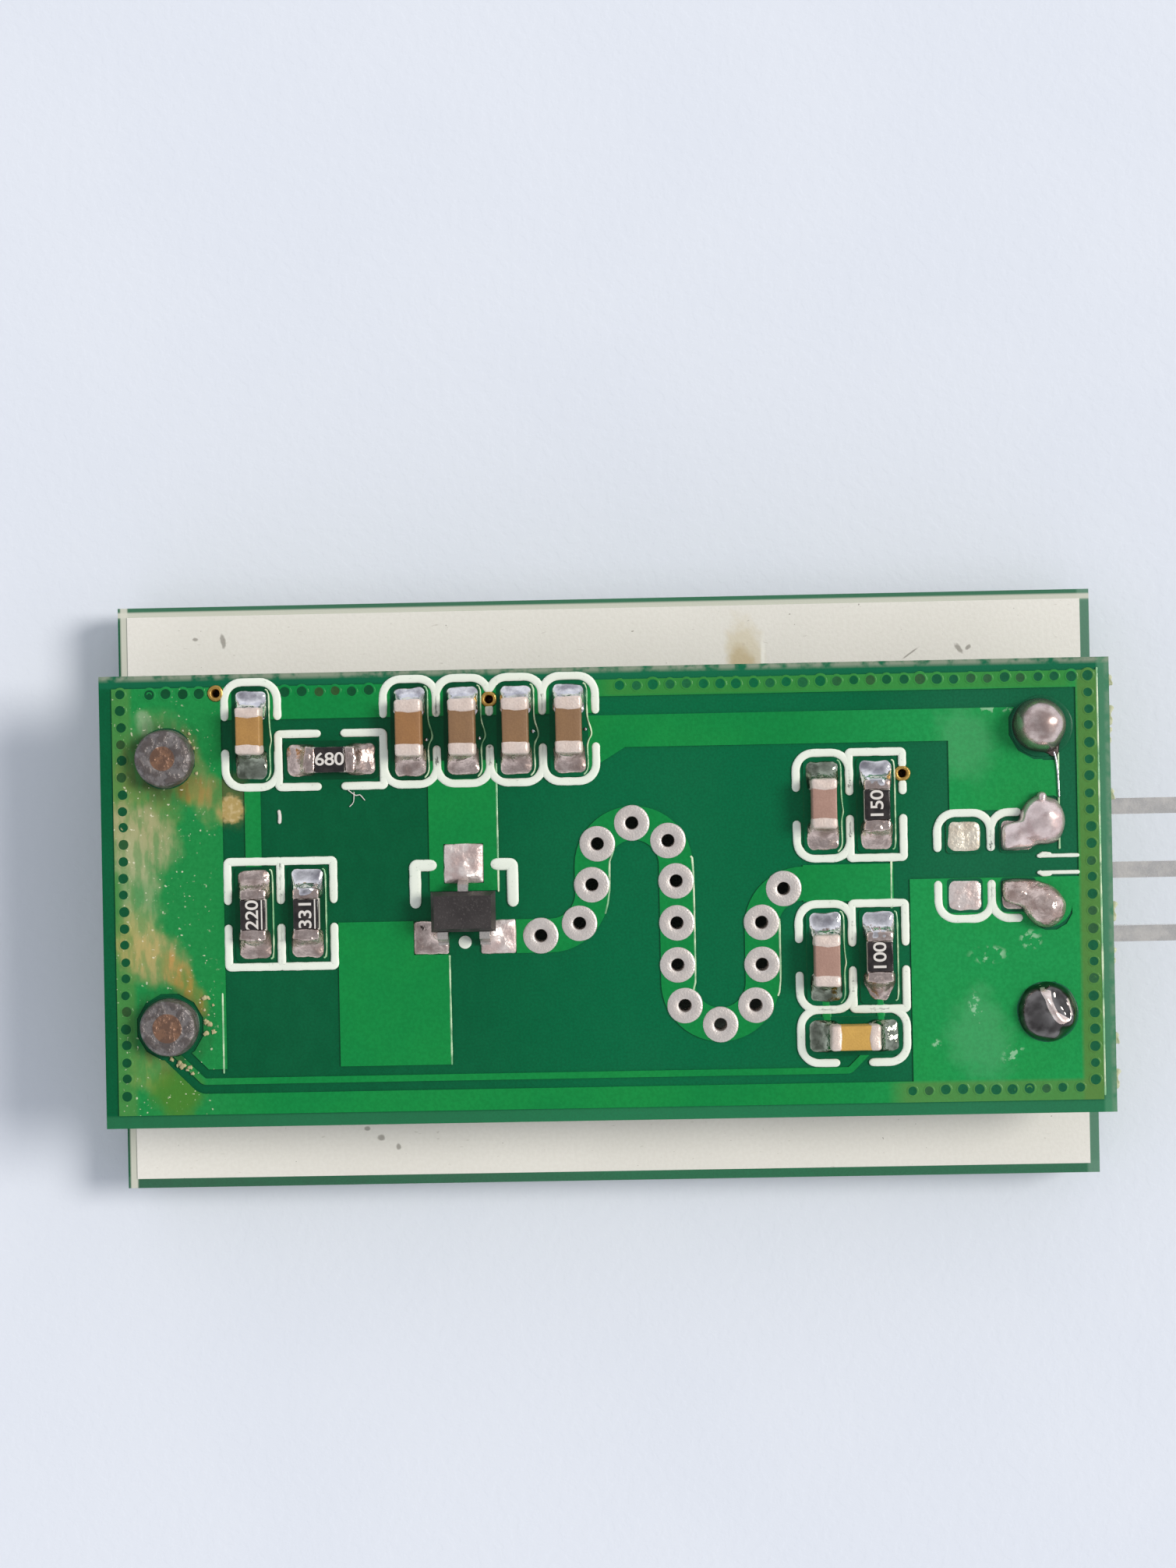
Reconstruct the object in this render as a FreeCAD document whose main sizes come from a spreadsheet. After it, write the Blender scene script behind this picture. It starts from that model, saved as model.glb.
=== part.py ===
# Microwave radar sensor module.
# A radio board stands on four wire posts over a planar antenna board, and three bare header pins
# are soldered under the radio board's right-hand end.
# Millimetres, +Z up, +X towards the pins. The origin is under the middle of the whole module.

import FreeCAD, Part
import math
import os

import Sketcher
from FreeCAD import Placement, Rotation, Vector

SIZES = {
    # Boards
    "board_length": 31.4,
    "radio_board_width": 14.1,
    "antenna_board_width": 18.8,
    "board_thickness": 1.0,
    "board_gap": 2.2,
    # Layers on the boards
    "copper_thickness": 0.04,
    "pad_thickness": 0.06,
    "ink_thickness": 0.03,
    "print_inset": 0.3,
    "print_clearance": 0.4,
    # Wire posts: insets are measured from the ends of the boards
    "post_radius": 0.4,
    "post_play": 0.1,
    "open_post_stub": 0.45,
    "left_post_inset": 2.05,
    "right_post_inset": 2.1,
    "front_post_offset": 3.9,
    "left_rear_post_offset": 4.45,
    "right_rear_post_offset": 4.95,
    # Solder at the posts
    "land_radius": 0.95,
    "foot_height": 0.9,
    "foot_radius": 0.92,
    "flat_solder_radius": 0.86,
    "flat_solder_crown": 0.6,
    "capped_solder_height": 0.62,
    "bead_radius": 0.84,
    "bead_height": 1.05,
    "ridge_solder_radius": 0.88,
    "ridge_solder_height": 0.72,
    # Two solder blobs beside the pins, which run into the pads of the half-drawn outline
    "blob_inset": 1.95,
    "blob_rear_offset": 2.1,
    "blob_front_offset": -0.7,
    "blob_radius": 0.66,
    "blob_height": 0.62,
    "blob_land_radius": 0.7,
    # Header pins
    "pin_width": 0.5,
    "pin_pitch": 2.0,
    "pin_row_offset": 0.4,
    "pin_reach": 4.0,
    "pin_seat": 2.6,
    "pin_point": 0.15,
    "pin_pad_length": 2.8,
    "pin_pad_breadth": 1.2,
    "pin_solder_length": 2.2,
    # Serpentine resonator
    "line_width": 1.05,
    "bend_radius": 1.31,
    "first_leg": 0.83,
    "middle_leg": 3.69,
    "last_leg": 1.71,
    "line_lead_in": 1.07,
    "eyelet_first": 0.765,
    "eyelet_pitch": 1.304,
    "eyelet_radius": 0.56,
    "eyelet_bore": 0.235,
    # Open vias
    "via_radius": 0.27,
    "via_bore": 0.16,
    "via_offset": 0.96,
    "corner_via_inset": 0.59,
    # Copper artwork
    "copper_margin": 0.4,
    "left_ground_width": 3.4,
    "rear_band_width": 0.52,
    "rear_land_width": 1.03,
    "right_strip_width": 0.65,
    "front_band_width": 0.65,
    "right_ground_length": 5.88,
    "right_ground_rear": 0.27,
    "feed_band_rear": 5.54,
    "feed_band_width": 1.0,
    "feed_land_length": 3.41,
    "feed_land_inset": 1.6,
    "feed_land_front": 2.36,
    "collector_strip_width": 2.13,
    "base_block_width": 3.45,
    "base_block_front": -5.22,
    "resonator_land_length": 2.8,
    "resonator_land_width": 1.14,
    "link_trace_width": 0.5,
    "signal_trace_width": 0.2,
    "signal_trace_offset": 5.62,
    "signal_trace_lead": 0.7,
    "trace_clearance": 0.28,
    "ring_clearance": 0.12,
    # Component outlines in white ink
    "pen": 0.26,
    "outline_width": 1.65,
    "outline_length": 3.28,
    "outline_bend": 0.55,
    "round_outline_gap": 1.14,
    "square_outline_gap": 0.86,
    "bracket_pen": 0.37,
    "bracket_span": 3.03,
    "bracket_arm": 0.5,
    "bracket_rear": 1.43,
    "bracket_front": 0.28,
    "dot_radius": 0.2,
    # Places of the outlines: insets are measured from the ends of the boards
    "left_column_inset": 4.75,
    "bank_start": 6.0,
    "rear_row": 5.15,
    "left_row": -0.44,
    "pair_column": 6.78,
    "pair_rear_row": 2.6,
    "pair_front_row": -2.09,
    "spare_column_inset": 4.58,
    "spare_row": 0.65,
    # Chip parts
    "capacitor_length": 1.65,
    "capacitor_breadth": 0.87,
    "capacitor_height": 0.8,
    "capacitor_shift": 0.12,
    "resistor_length": 1.6,
    "resistor_breadth": 0.83,
    "resistor_height": 0.45,
    "chip_end": 0.37,
    "chip_end_proud": 0.02,
    "chip_edge": 0.05,
    "pad_length": 0.9,
    "pad_breadth": 0.98,
    "pad_reach": 0.92,
    # Radio transistor
    "transistor_left": 4.41,
    "transistor_front": 0.45,
    "transistor_length": 2.0,
    "transistor_breadth": 1.25,
    "transistor_height": 0.9,
    "transistor_span": 2.1,
    "transistor_lead_width": 0.32,
    "transistor_lead_pitch": 1.3,
    "transistor_pad_reach": 1.045,
    "transistor_pad_length": 1.1,
    "transistor_pad_breadth": 1.05,
    "transistor_pad_offset": 0.82,
    "collector_pad_length": 1.24,
    "collector_pad_breadth": 1.23,
    "collector_pad_offset": 1.47,
    # Moulded parts under the radio board
    "small_outline_length": 4.9,
    "small_outline_breadth": 3.9,
    "small_outline_height": 1.35,
    "small_outline_span": 6.0,
    "small_outline_pitch": 1.27,
    "small_outline_lead_width": 0.42,
    "small_outline_inset": 6.3,
    "regulator_length": 2.9,
    "regulator_breadth": 1.3,
    "regulator_height": 1.0,
    "regulator_span": 2.4,
    "regulator_pitch": 1.9,
    "regulator_lead_width": 0.42,
    "regulator_front": 4.75,
    "standoff": 0.08,
    "mould_draft": 0.12,
    "lead_thickness": 0.14,
    "foot_pad_margin": 0.12,
    "pin_pad_inset": 0.2,
    # Antenna patches on the outer face of the antenna board
    "patch_inset": 3.6,
    "patch_slot": 1.0,
    "patch_width": 14.0,
}

EYELET_COUNT = 15
ROUND_SIDES = 12
TOP_BANDS = 3
FOOT_BANDS = 2
BEND_STEPS = 3
BANK_COUNT = 4
LEADS_PER_SIDE = 4

doc = FreeCAD.newDocument("microwave_radar_sensor_module")
sheet = doc.addObject("Spreadsheet::Sheet", "sizes")
for row_number, (size_name, size_value) in enumerate(SIZES.items(), start=1):
    sheet.set(f"A{row_number}", str(size_value))
    sheet.setAlias(f"A{row_number}", size_name)
doc.recompute()

# Levels and centre lines, as expressions over the sheet
MIDDLE = "-sizes.pin_reach / 2"
ANTENNA_FACE = "sizes.foot_height + sizes.board_thickness"
RADIO_UNDERSIDE = ANTENNA_FACE + " + sizes.board_gap"
RADIO_FACE = RADIO_UNDERSIDE + " + sizes.board_thickness"
LEFT_END = "-sizes.board_length / 2"
RIGHT_END = "sizes.board_length / 2"
LEFT_COLUMN = f"{LEFT_END} + sizes.left_column_inset"
SPARE_COLUMN = f"{RIGHT_END} - sizes.spare_column_inset"
UNDER_LEFT = f"{LEFT_END} + sizes.small_outline_inset"
UNDER_RIGHT = f"{RIGHT_END} - sizes.small_outline_inset"

nodes = []


def mm(expression):
    """Value of a sheet name, or of an expression over the sheet."""
    if expression in SIZES:
        return float(sheet.get(expression))
    return float(sheet.evalExpression(expression))


def bind(part, **expressions):
    for property_name, expression in expressions.items():
        part.setExpression(property_name, expression)
    return part


def place(part, along, across, level):
    """Bind the part's place: along and across from the middle of the boards, and its level."""
    part.setExpression("Placement.Base.x", f"{MIDDLE} + ({along})")
    part.setExpression("Placement.Base.y", across)
    part.setExpression("Placement.Base.z", level)
    return part


def node(part, label):
    part.Label = label
    nodes.append(part)
    return part


def shape_node(label, shape, level):
    """A sub-part whose shape is drawn from the middle of a board's face, then placed there."""
    part = doc.addObject("Part::Feature", label)
    part.Shape = Part.makeCompound(shape.Solids)
    part.Placement = Placement(Vector(mm(MIDDLE), 0, mm(level)), Rotation())
    return node(part, label)


# Flat shapes drawn on a face


def prism(points, height):
    corners = [Vector(x, y, 0) for x, y in points]
    outline = Part.makePolygon(corners + corners[:1])
    return Part.Face(outline).extrude(Vector(0, 0, height))


def field(left, right, front, rear, height):
    return Part.makeBox(right - left, rear - front, height, Vector(left, front, 0))


def pad(x, y, length, breadth, height):
    return field(x - length / 2, x + length / 2, y - breadth / 2, y + breadth / 2, height)


def disc(x, y, radius, height, level=0):
    """Small round slab, drawn with few sides because there are many of them."""
    turns = [2 * math.pi * (step + 0.5) / ROUND_SIDES for step in range(ROUND_SIDES)]
    rim = [(x + radius * math.cos(turn), y + radius * math.sin(turn)) for turn in turns]
    return lifted(prism(rim, height), level)


def ring(x, y, outer, inner, height):
    return disc(x, y, outer, height).cut(disc(x, y, inner, height))


def lifted(shape, level):
    return shape.translated(Vector(0, 0, level))


def joined(shapes):
    first, *others = shapes
    if not others:
        return first
    return first.fuse(others).removeSplitter()


def rounded_path(points, bend):
    """Wire through the points, with each inner corner rounded by the same radius."""
    corners = [Vector(x, y, 0) for x, y in points]
    edges = []
    start = corners[0]
    for before, corner, after in zip(corners, corners[1:], corners[2:]):
        back = (before - corner).normalize()
        onward = (after - corner).normalize()
        half_angle = back.getAngle(onward) / 2
        setback = bend / math.tan(half_angle)
        enter = corner + back * setback
        leave = corner + onward * setback
        centre = corner + (back + onward).normalize() * (bend / math.sin(half_angle))
        nearest = centre + (corner - centre).normalize() * bend
        edges.append(Part.makeLine(start, enter))
        edges.append(Part.Arc(enter, nearest, leave).toShape())
        start = leave
    edges.append(Part.makeLine(start, corners[-1]))
    return Part.Wire(edges)


def trace(wire, width, height):
    """Flat strip with round ends along a wire of lines and arcs."""
    outline = wire.makeOffset2D(width / 2)
    return Part.Face(outline).extrude(Vector(0, 0, height))


def bent_line(points, bend):
    """Points of a pen line whose inner corners are rounded in a few steps."""
    corners = [Vector(x, y, 0) for x, y in points]
    line = [corners[0]]
    for before, corner, after in zip(corners, corners[1:], corners[2:]):
        back = (before - corner).normalize()
        onward = (after - corner).normalize()
        centre = corner + (back + onward) * bend
        for step in range(BEND_STEPS + 1):
            turn = step / BEND_STEPS * math.pi / 2
            line.append(centre - onward * (bend * math.cos(turn)) - back * (bend * math.sin(turn)))
    line.append(corners[-1])
    return line


def pen_stroke(line, width, height):
    """Stroke of a pen along a line of points, with blunted ends."""
    reach = width / 2
    near_side = []
    far_side = []
    for index, spot in enumerate(line):
        before = line[max(index - 1, 0)]
        after = line[min(index + 1, len(line) - 1)]
        arriving = (spot - before if index else after - spot).normalize()
        leaving = (after - spot if index + 1 < len(line) else spot - before).normalize()
        middle = (arriving + leaving).normalize()
        aside = Vector(-middle.y, middle.x, 0) * (reach / middle.dot(leaving))
        near_side.append(spot + aside)
        far_side.append(spot - aside)
    ends = []
    for spot, inner in ((line[-1], line[-2]), (line[0], line[1])):
        onward = (spot - inner).normalize() * reach
        aside = Vector(-onward.y, onward.x, 0)
        for side in (1, -1):
            ends.append(spot + onward + aside * (side / 2))
    rim = near_side + ends[:2] + far_side[::-1] + ends[2:]
    return prism([(spot.x, spot.y) for spot in rim], height)


# Places on the boards

POSTS = {
    "rear_left": ("-sizes.board_length / 2 + sizes.left_post_inset", "sizes.left_rear_post_offset"),
    "front_left": ("-sizes.board_length / 2 + sizes.left_post_inset", "-sizes.front_post_offset"),
    "rear_right": ("sizes.board_length / 2 - sizes.right_post_inset", "sizes.right_rear_post_offset"),
    "front_right": ("sizes.board_length / 2 - sizes.right_post_inset", "-sizes.front_post_offset"),
}

BLOBS = {
    "rear": ("sizes.board_length / 2 - sizes.blob_inset", "sizes.blob_rear_offset"),
    "front": ("sizes.board_length / 2 - sizes.blob_inset", "sizes.blob_front_offset"),
}

VIAS = {
    "beside_corner": (
        f"{LEFT_COLUMN} - sizes.via_offset - sizes.pen / 2",
        "sizes.radio_board_width / 2 - sizes.corner_via_inset",
    ),
    "in_bank": ("-sizes.bank_start + 1.5 * sizes.outline_width", "sizes.rear_row + sizes.via_offset"),
    "beside_pair": ("sizes.pair_column + 1.5 * sizes.outline_width", "sizes.pair_rear_row + sizes.via_offset"),
}


def point(place_on_board):
    along, across = place_on_board
    return mm(along), mm(across)


# Component outlines: name, place along and across, whether it lies along X, and its kind


def outline(name, along, across, lies=False, kind="capacitor"):
    return {"name": name, "along": along, "across": across, "lies": lies, "kind": kind}


OUTLINES = [outline("capacitor_1", LEFT_COLUMN, "sizes.rear_row")]
OUTLINES += [
    outline(f"capacitor_{2 + step}", f"-sizes.bank_start + {step} * sizes.outline_width", "sizes.rear_row")
    for step in range(BANK_COUNT)
]
OUTLINES += [
    outline("capacitor_6", "sizes.pair_column", "sizes.pair_rear_row"),
    outline("capacitor_7", "sizes.pair_column", "sizes.pair_front_row"),
    outline(
        "capacitor_8",
        "sizes.pair_column + sizes.outline_width / 2",
        "sizes.pair_front_row - sizes.outline_length / 2 - sizes.outline_width / 2",
        lies=True,
    ),
    outline(
        "resistor_1",
        f"({LEFT_COLUMN} - sizes.bank_start) / 2",
        "sizes.rear_row - sizes.outline_width / 2",
        lies=True,
        kind="resistor",
    ),
    outline("resistor_2", LEFT_COLUMN, "sizes.left_row", kind="resistor"),
    outline("resistor_3", f"{LEFT_COLUMN} + sizes.outline_width", "sizes.left_row", kind="resistor"),
    outline("resistor_4", "sizes.pair_column + sizes.outline_width", "sizes.pair_rear_row", kind="resistor"),
    outline("resistor_5", "sizes.pair_column + sizes.outline_width", "sizes.pair_front_row", kind="resistor"),
]
SPARES = [
    (SPARE_COLUMN, "sizes.spare_row"),
    (f"{SPARE_COLUMN} + sizes.outline_width", "sizes.spare_row"),
]

transistor_x = mm("-sizes.transistor_left")
transistor_y = mm("-sizes.transistor_front")


# Boards


def board_body(label, width, level):
    """A plain board pad, centred on its own origin."""
    body = doc.addObject("PartDesign::Body", label)
    base = next(feature for feature in body.Origin.OriginFeatures if feature.Role == "XY_Plane")
    sketch = body.newObject("Sketcher::SketchObject", f"{label}_outline")
    sketch.AttachmentSupport = [(base, "")]
    sketch.MapMode = "FlatFace"
    corners = [Vector(-1, -1, 0), Vector(1, -1, 0), Vector(1, 1, 0), Vector(-1, 1, 0)]
    for corner, following in zip(corners, corners[1:] + corners[:1]):
        sketch.addGeometry(Part.LineSegment(corner, following))
    for side in range(4):
        sketch.addConstraint(Sketcher.Constraint("Coincident", side, 2, (side + 1) % 4, 1))
    for side, direction in ((0, "Horizontal"), (1, "Vertical"), (2, "Horizontal"), (3, "Vertical")):
        sketch.addConstraint(Sketcher.Constraint(direction, side))
    sketch.addConstraint(Sketcher.Constraint("Symmetric", 0, 1, 1, 2, -1, 1))
    length = sketch.addConstraint(Sketcher.Constraint("DistanceX", 0, 1, 0, 2, 2.0))
    breadth = sketch.addConstraint(Sketcher.Constraint("DistanceY", 1, 1, 1, 2, 2.0))
    sketch.setExpression(f"Constraints[{length}]", "sizes.board_length")
    sketch.setExpression(f"Constraints[{breadth}]", width)
    slab = body.newObject("PartDesign::Pad", f"{label}_slab")
    slab.Profile = sketch
    slab.setExpression("Length", "sizes.board_thickness")
    place(body, "0", "0", level)
    doc.recompute()
    return body, base


def drill(body, base, label, holes):
    """Round holes through a board: each has its place and a radius, all bound to the sheet."""
    sketch = body.newObject("Sketcher::SketchObject", f"{label}_holes")
    sketch.AttachmentSupport = [(base, "")]
    sketch.MapMode = "FlatFace"
    for along, across, radius in holes:
        centre = Vector(mm(along), mm(across), 0)
        circle = sketch.addGeometry(Part.Circle(centre, Vector(0, 0, 1), mm(radius)))
        bounds = (("DistanceX", along, centre.x), ("DistanceY", across, centre.y))
        for direction, expression, value in bounds:
            index = sketch.addConstraint(Sketcher.Constraint(direction, -1, 1, circle, 3, value))
            sketch.setExpression(f"Constraints[{index}]", expression)
        index = sketch.addConstraint(Sketcher.Constraint("Radius", circle, mm(radius)))
        sketch.setExpression(f"Constraints[{index}]", radius)
    pocket = body.newObject("PartDesign::Pocket", f"{label}_drilling")
    pocket.Profile = sketch
    pocket.Type = "ThroughAll"
    pocket.Midplane = True
    body.Tip = pocket
    doc.recompute()


POST_HOLE = "sizes.post_radius + sizes.post_play"
post_holes = [(along, across, POST_HOLE) for along, across in POSTS.values()]

antenna_board, antenna_base = board_body("antenna_board", "sizes.antenna_board_width", "sizes.foot_height")
drill(antenna_board, antenna_base, "antenna_board", post_holes)
node(antenna_board, "antenna_board")

radio_blank, _ = board_body("radio_blank", "sizes.radio_board_width", RADIO_UNDERSIDE)


# Serpentine resonator: a quarter bend, a leg, a half bend, a long leg, a half bend, a leg and a quarter bend


def resonator_path():
    bend = mm("bend_radius")
    level = transistor_y - mm("transistor_pad_offset")
    start = transistor_x + mm("transistor_pad_reach") + mm("transistor_pad_length") / 2
    edges = []
    here = Vector(start, level, 0)

    def straight(step):
        nonlocal here
        there = here + step
        edges.append(Part.makeLine(here, there))
        here = there

    def turn(centre_step, first_angle, sweep):
        nonlocal here
        centre = here + centre_step
        halfway = math.radians(first_angle + sweep / 2)
        finish = math.radians(first_angle + sweep)
        through = centre + Vector(math.cos(halfway), math.sin(halfway), 0) * bend
        there = centre + Vector(math.cos(finish), math.sin(finish), 0) * bend
        edges.append(Part.Arc(here, through, there).toShape())
        here = there

    straight(Vector(mm("line_lead_in"), 0, 0))
    turn(Vector(0, bend, 0), -90, 90)
    straight(Vector(0, mm("first_leg"), 0))
    turn(Vector(bend, 0, 0), 180, -180)
    straight(Vector(0, -mm("middle_leg"), 0))
    turn(Vector(bend, 0, 0), 180, 180)
    straight(Vector(0, mm("last_leg"), 0))
    turn(Vector(bend, 0, 0), 180, -90)
    return Part.Wire(edges), here


def along_path(wire, distance):
    for edge in wire.OrderedEdges:
        if distance <= edge.Length:
            return edge.valueAt(edge.getParameterByLength(distance))
        distance -= edge.Length
    return wire.OrderedVertexes[-1].Point


resonator_wire, resonator_end = resonator_path()
eyelet_places = [
    along_path(resonator_wire, mm("eyelet_first") + step * mm("eyelet_pitch"))
    for step in range(EYELET_COUNT)
]


eyelets = [(spot.x, spot.y, mm("eyelet_radius"), mm("eyelet_bore")) for spot in eyelet_places]
vias = [(*point(spot), mm("via_radius"), mm("via_bore")) for spot in VIAS.values()]

depth = mm("board_thickness")
through_holes = [(x, y, bore) for x, y, _, bore in eyelets + vias]
through_holes += [(*point(spot), mm(POST_HOLE)) for spot in POSTS.values()]
drills = doc.addObject("Part::Feature", "radio_board_drills")
drills.Shape = Part.makeCompound([disc(*hole, 2 * depth, -1.5 * depth) for hole in through_holes])
drills.Placement = Placement(Vector(mm(MIDDLE), 0, mm(RADIO_FACE)), Rotation())
radio_board = doc.addObject("Part::Cut", "radio_board")
radio_board.Base = radio_blank
radio_board.Tool = drills
node(radio_board, "radio_board")

for label, holes in (("resonator_eyelets", eyelets), ("open_vias", vias)):
    rings = Part.makeCompound([ring(*hole, mm("pad_thickness")) for hole in holes])
    shape_node(label, rings, RADIO_FACE)


# Tinned pads


def chip_pads(x, y, lies):
    """Pad rectangles at the two ends of a chip outline: centre, length along X and breadth along Y."""
    reach = mm("pad_reach")
    if lies:
        size = (mm("pad_length"), mm("pad_breadth"))
        return [(x - reach, y, *size), (x + reach, y, *size)]
    size = (mm("pad_breadth"), mm("pad_length"))
    return [(x, y - reach, *size), (x, y + reach, *size)]


pad_rectangles = []
for spot in OUTLINES:
    pad_rectangles += chip_pads(mm(spot["along"]), mm(spot["across"]), spot["lies"])
for spot in SPARES:
    pad_rectangles += chip_pads(*point(spot), False)

pad_row = transistor_y - mm("transistor_pad_offset")
for side in (-1, 1):
    pad_x = transistor_x + side * mm("transistor_pad_reach")
    pad_rectangles.append((pad_x, pad_row, mm("transistor_pad_length"), mm("transistor_pad_breadth")))
collector_size = (mm("collector_pad_length"), mm("collector_pad_breadth"))
pad_rectangles.append((transistor_x, transistor_y + mm("collector_pad_offset"), *collector_size))

post_lands = [(*point(spot), mm("land_radius")) for spot in POSTS.values()]
blob_lands = [(*point(spot), mm("blob_land_radius")) for spot in BLOBS.values()]

pads = [pad(*rectangle, mm("pad_thickness")) for rectangle in pad_rectangles]
pads += [ring(*land, mm(POST_HOLE), mm("pad_thickness")) for land in post_lands]
pads += [disc(*land, mm("pad_thickness")) for land in blob_lands]
solder_pads = joined(pads)
shape_node("solder_pads", solder_pads, RADIO_FACE)


# Copper artwork under the green mask

copper = mm("copper_thickness")
left_edge = -mm("board_length") / 2 + mm("copper_margin")
right_edge = -left_edge
rear_edge = mm("radio_board_width") / 2 - mm("copper_margin")
front_edge = -rear_edge
bank_end = mm("-sizes.bank_start + (4 - 0.5) * sizes.outline_width")
rear_row = mm("rear_row")
pad_reach = mm("pad_reach")
half_pad = mm("pad_length") / 2
half_breadth = mm("pad_breadth") / 2

ground_right = right_edge - mm("right_ground_length")
feed_end = mm(f"{RIGHT_END} - sizes.feed_land_inset")
band_front = mm("feed_band_rear") - mm("feed_band_width")
last_capacitor = bank_end - mm("outline_width") / 2
collector_half = mm("collector_strip_width") / 2
base_right = transistor_x - mm("transistor_pad_reach") + mm("transistor_pad_length") / 2
link_half = mm("link_trace_width") / 2
link_x = mm(LEFT_COLUMN)
land_half = mm("resonator_land_width") / 2
land_middle = resonator_end.y

copper_fields = [
    field(left_edge, left_edge + mm("left_ground_width"), front_edge, rear_edge, copper),
    field(left_edge, right_edge, rear_edge - mm("rear_band_width"), rear_edge, copper),
    field(left_edge, bank_end, rear_edge - mm("rear_land_width"), rear_edge, copper),
    field(right_edge - mm("right_strip_width"), right_edge, front_edge, rear_edge, copper),
    field(left_edge, right_edge, front_edge, front_edge + mm("front_band_width"), copper),
    field(ground_right, right_edge, front_edge, mm("right_ground_rear"), copper),
    field(bank_end, feed_end, band_front, mm("feed_band_rear"), copper),
    field(feed_end - mm("feed_land_length"), feed_end, mm("feed_land_front"), mm("feed_band_rear"), copper),
    prism(
        [
            (last_capacitor - half_breadth, rear_row - pad_reach - half_pad),
            (last_capacitor + half_breadth, rear_row - pad_reach - half_pad),
            (bank_end + mm("pad_length"), band_front),
            (bank_end + mm("pad_length"), mm("feed_band_rear")),
            (last_capacitor + half_breadth, mm("feed_band_rear")),
            (last_capacitor - half_breadth, rear_row - pad_reach + half_pad),
        ],
        copper,
    ),
    field(
        transistor_x - collector_half,
        transistor_x + collector_half,
        transistor_y + mm("transistor_breadth") / 2,
        rear_row - pad_reach,
        copper,
    ),
    field(
        base_right - mm("base_block_width"),
        base_right,
        mm("base_block_front"),
        pad_row + mm("transistor_pad_breadth") / 2,
        copper,
    ),
    field(
        link_x - link_half,
        link_x + link_half,
        mm("left_row") + pad_reach,
        rear_row - pad_reach,
        copper,
    ),
    field(
        resonator_end.x,
        resonator_end.x + mm("resonator_land_length"),
        land_middle - land_half,
        land_middle + land_half,
        copper,
    ),
    trace(resonator_wire, mm("line_width"), copper),
]

signal_y = -mm("signal_trace_offset")
signal_start = point(POSTS["front_left"])
signal_lead_y = signal_start[1] - mm("signal_trace_lead")
signal_end_x = mm("pair_column") + mm("outline_width") / 2 + pad_reach
signal_end_y = mm(next(spot["across"] for spot in OUTLINES if spot["name"] == "capacitor_8"))
signal_rise = signal_end_y - signal_y
signal_wire = rounded_path(
    [
        signal_start,
        (signal_start[0], signal_lead_y),
        (signal_start[0] + signal_lead_y - signal_y, signal_y),
        (signal_end_x - signal_rise, signal_y),
        (signal_end_x, signal_end_y),
    ],
    mm("signal_trace_width"),
)
signal_channel = trace(signal_wire, mm("signal_trace_width") + 2 * mm("trace_clearance"), copper)
signal_trace = trace(signal_wire, mm("signal_trace_width"), copper)

bead_x, bead_y = point(POSTS["rear_right"])
post_ring = mm("land_radius") + mm("ring_clearance")
clearings = [
    signal_channel,
    disc(*signal_start, post_ring, copper),
    disc(bead_x, bead_y, post_ring, copper),
    field(bead_x, feed_end, bead_y - post_ring, mm("feed_band_rear"), copper),
]

metal_on_copper = [pad(*rectangle, copper) for rectangle in pad_rectangles]
metal_on_copper += [disc(*land, copper) for land in post_lands + blob_lands]
metal_on_copper += [disc(x, y, radius, copper) for x, y, radius, _ in eyelets + vias]

artwork = joined(copper_fields).cut(clearings)
artwork = joined([artwork, signal_trace]).cut(metal_on_copper).removeSplitter()
shape_node("copper_artwork", artwork, RADIO_FACE)


# White ink outlines

ink = mm("ink_thickness")
pen = mm("pen")


def turned(points, x, y, lies):
    """Points of an upright outline moved to its place, or laid along X first."""
    if lies:
        return [(x + across, y - along) for along, across in points]
    return [(x + along, y + across) for along, across in points]


def plain_line(points):
    return [Vector(x, y, 0) for x, y in points]


def ink_outline(x, y, lies, kind):
    half_width = mm("outline_width") / 2
    half_length = mm("outline_length") / 2
    gap = mm("round_outline_gap") if kind == "capacitor" else mm("square_outline_gap")
    strokes = []
    for end in (-1, 1):
        points = [
            (-half_width, end * gap / 2),
            (-half_width, end * half_length),
            (half_width, end * half_length),
            (half_width, end * gap / 2),
        ]
        upright = turned(points, x, y, lies)
        line = bent_line(upright, mm("outline_bend")) if kind == "capacitor" else plain_line(upright)
        strokes.append(pen_stroke(line, pen, ink))
    return strokes


ink_strokes = []
for spot in OUTLINES:
    ink_strokes += ink_outline(mm(spot["along"]), mm(spot["across"]), spot["lies"], spot["kind"])
ink_strokes += ink_outline(*point(SPARES[0]), False, "capacitor")

spare_x, spare_y = point(SPARES[1])
half_outline = mm("outline_width") / 2
for end in (-1, 1):
    arc_points = [
        (spare_x - half_outline, spare_y + end * mm("round_outline_gap") / 2),
        (spare_x - half_outline, spare_y + end * mm("outline_length") / 2),
        (spare_x, spare_y + end * mm("outline_length") / 2),
    ]
    ink_strokes.append(pen_stroke(bent_line(arc_points, mm("outline_bend")), pen, ink))

bracket_pen = mm("bracket_pen")
for side in (-1, 1):
    leg_x = transistor_x + side * mm("bracket_span") / 2
    bracket = [
        (leg_x, transistor_y + mm("bracket_front")),
        (leg_x, transistor_y + mm("bracket_rear")),
        (leg_x - side * mm("bracket_arm"), transistor_y + mm("bracket_rear")),
    ]
    ink_strokes.append(pen_stroke(plain_line(bracket), bracket_pen, ink))
ink_strokes.append(disc(transistor_x, pad_row - mm("dot_radius") / 2, mm("dot_radius"), ink))

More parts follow.
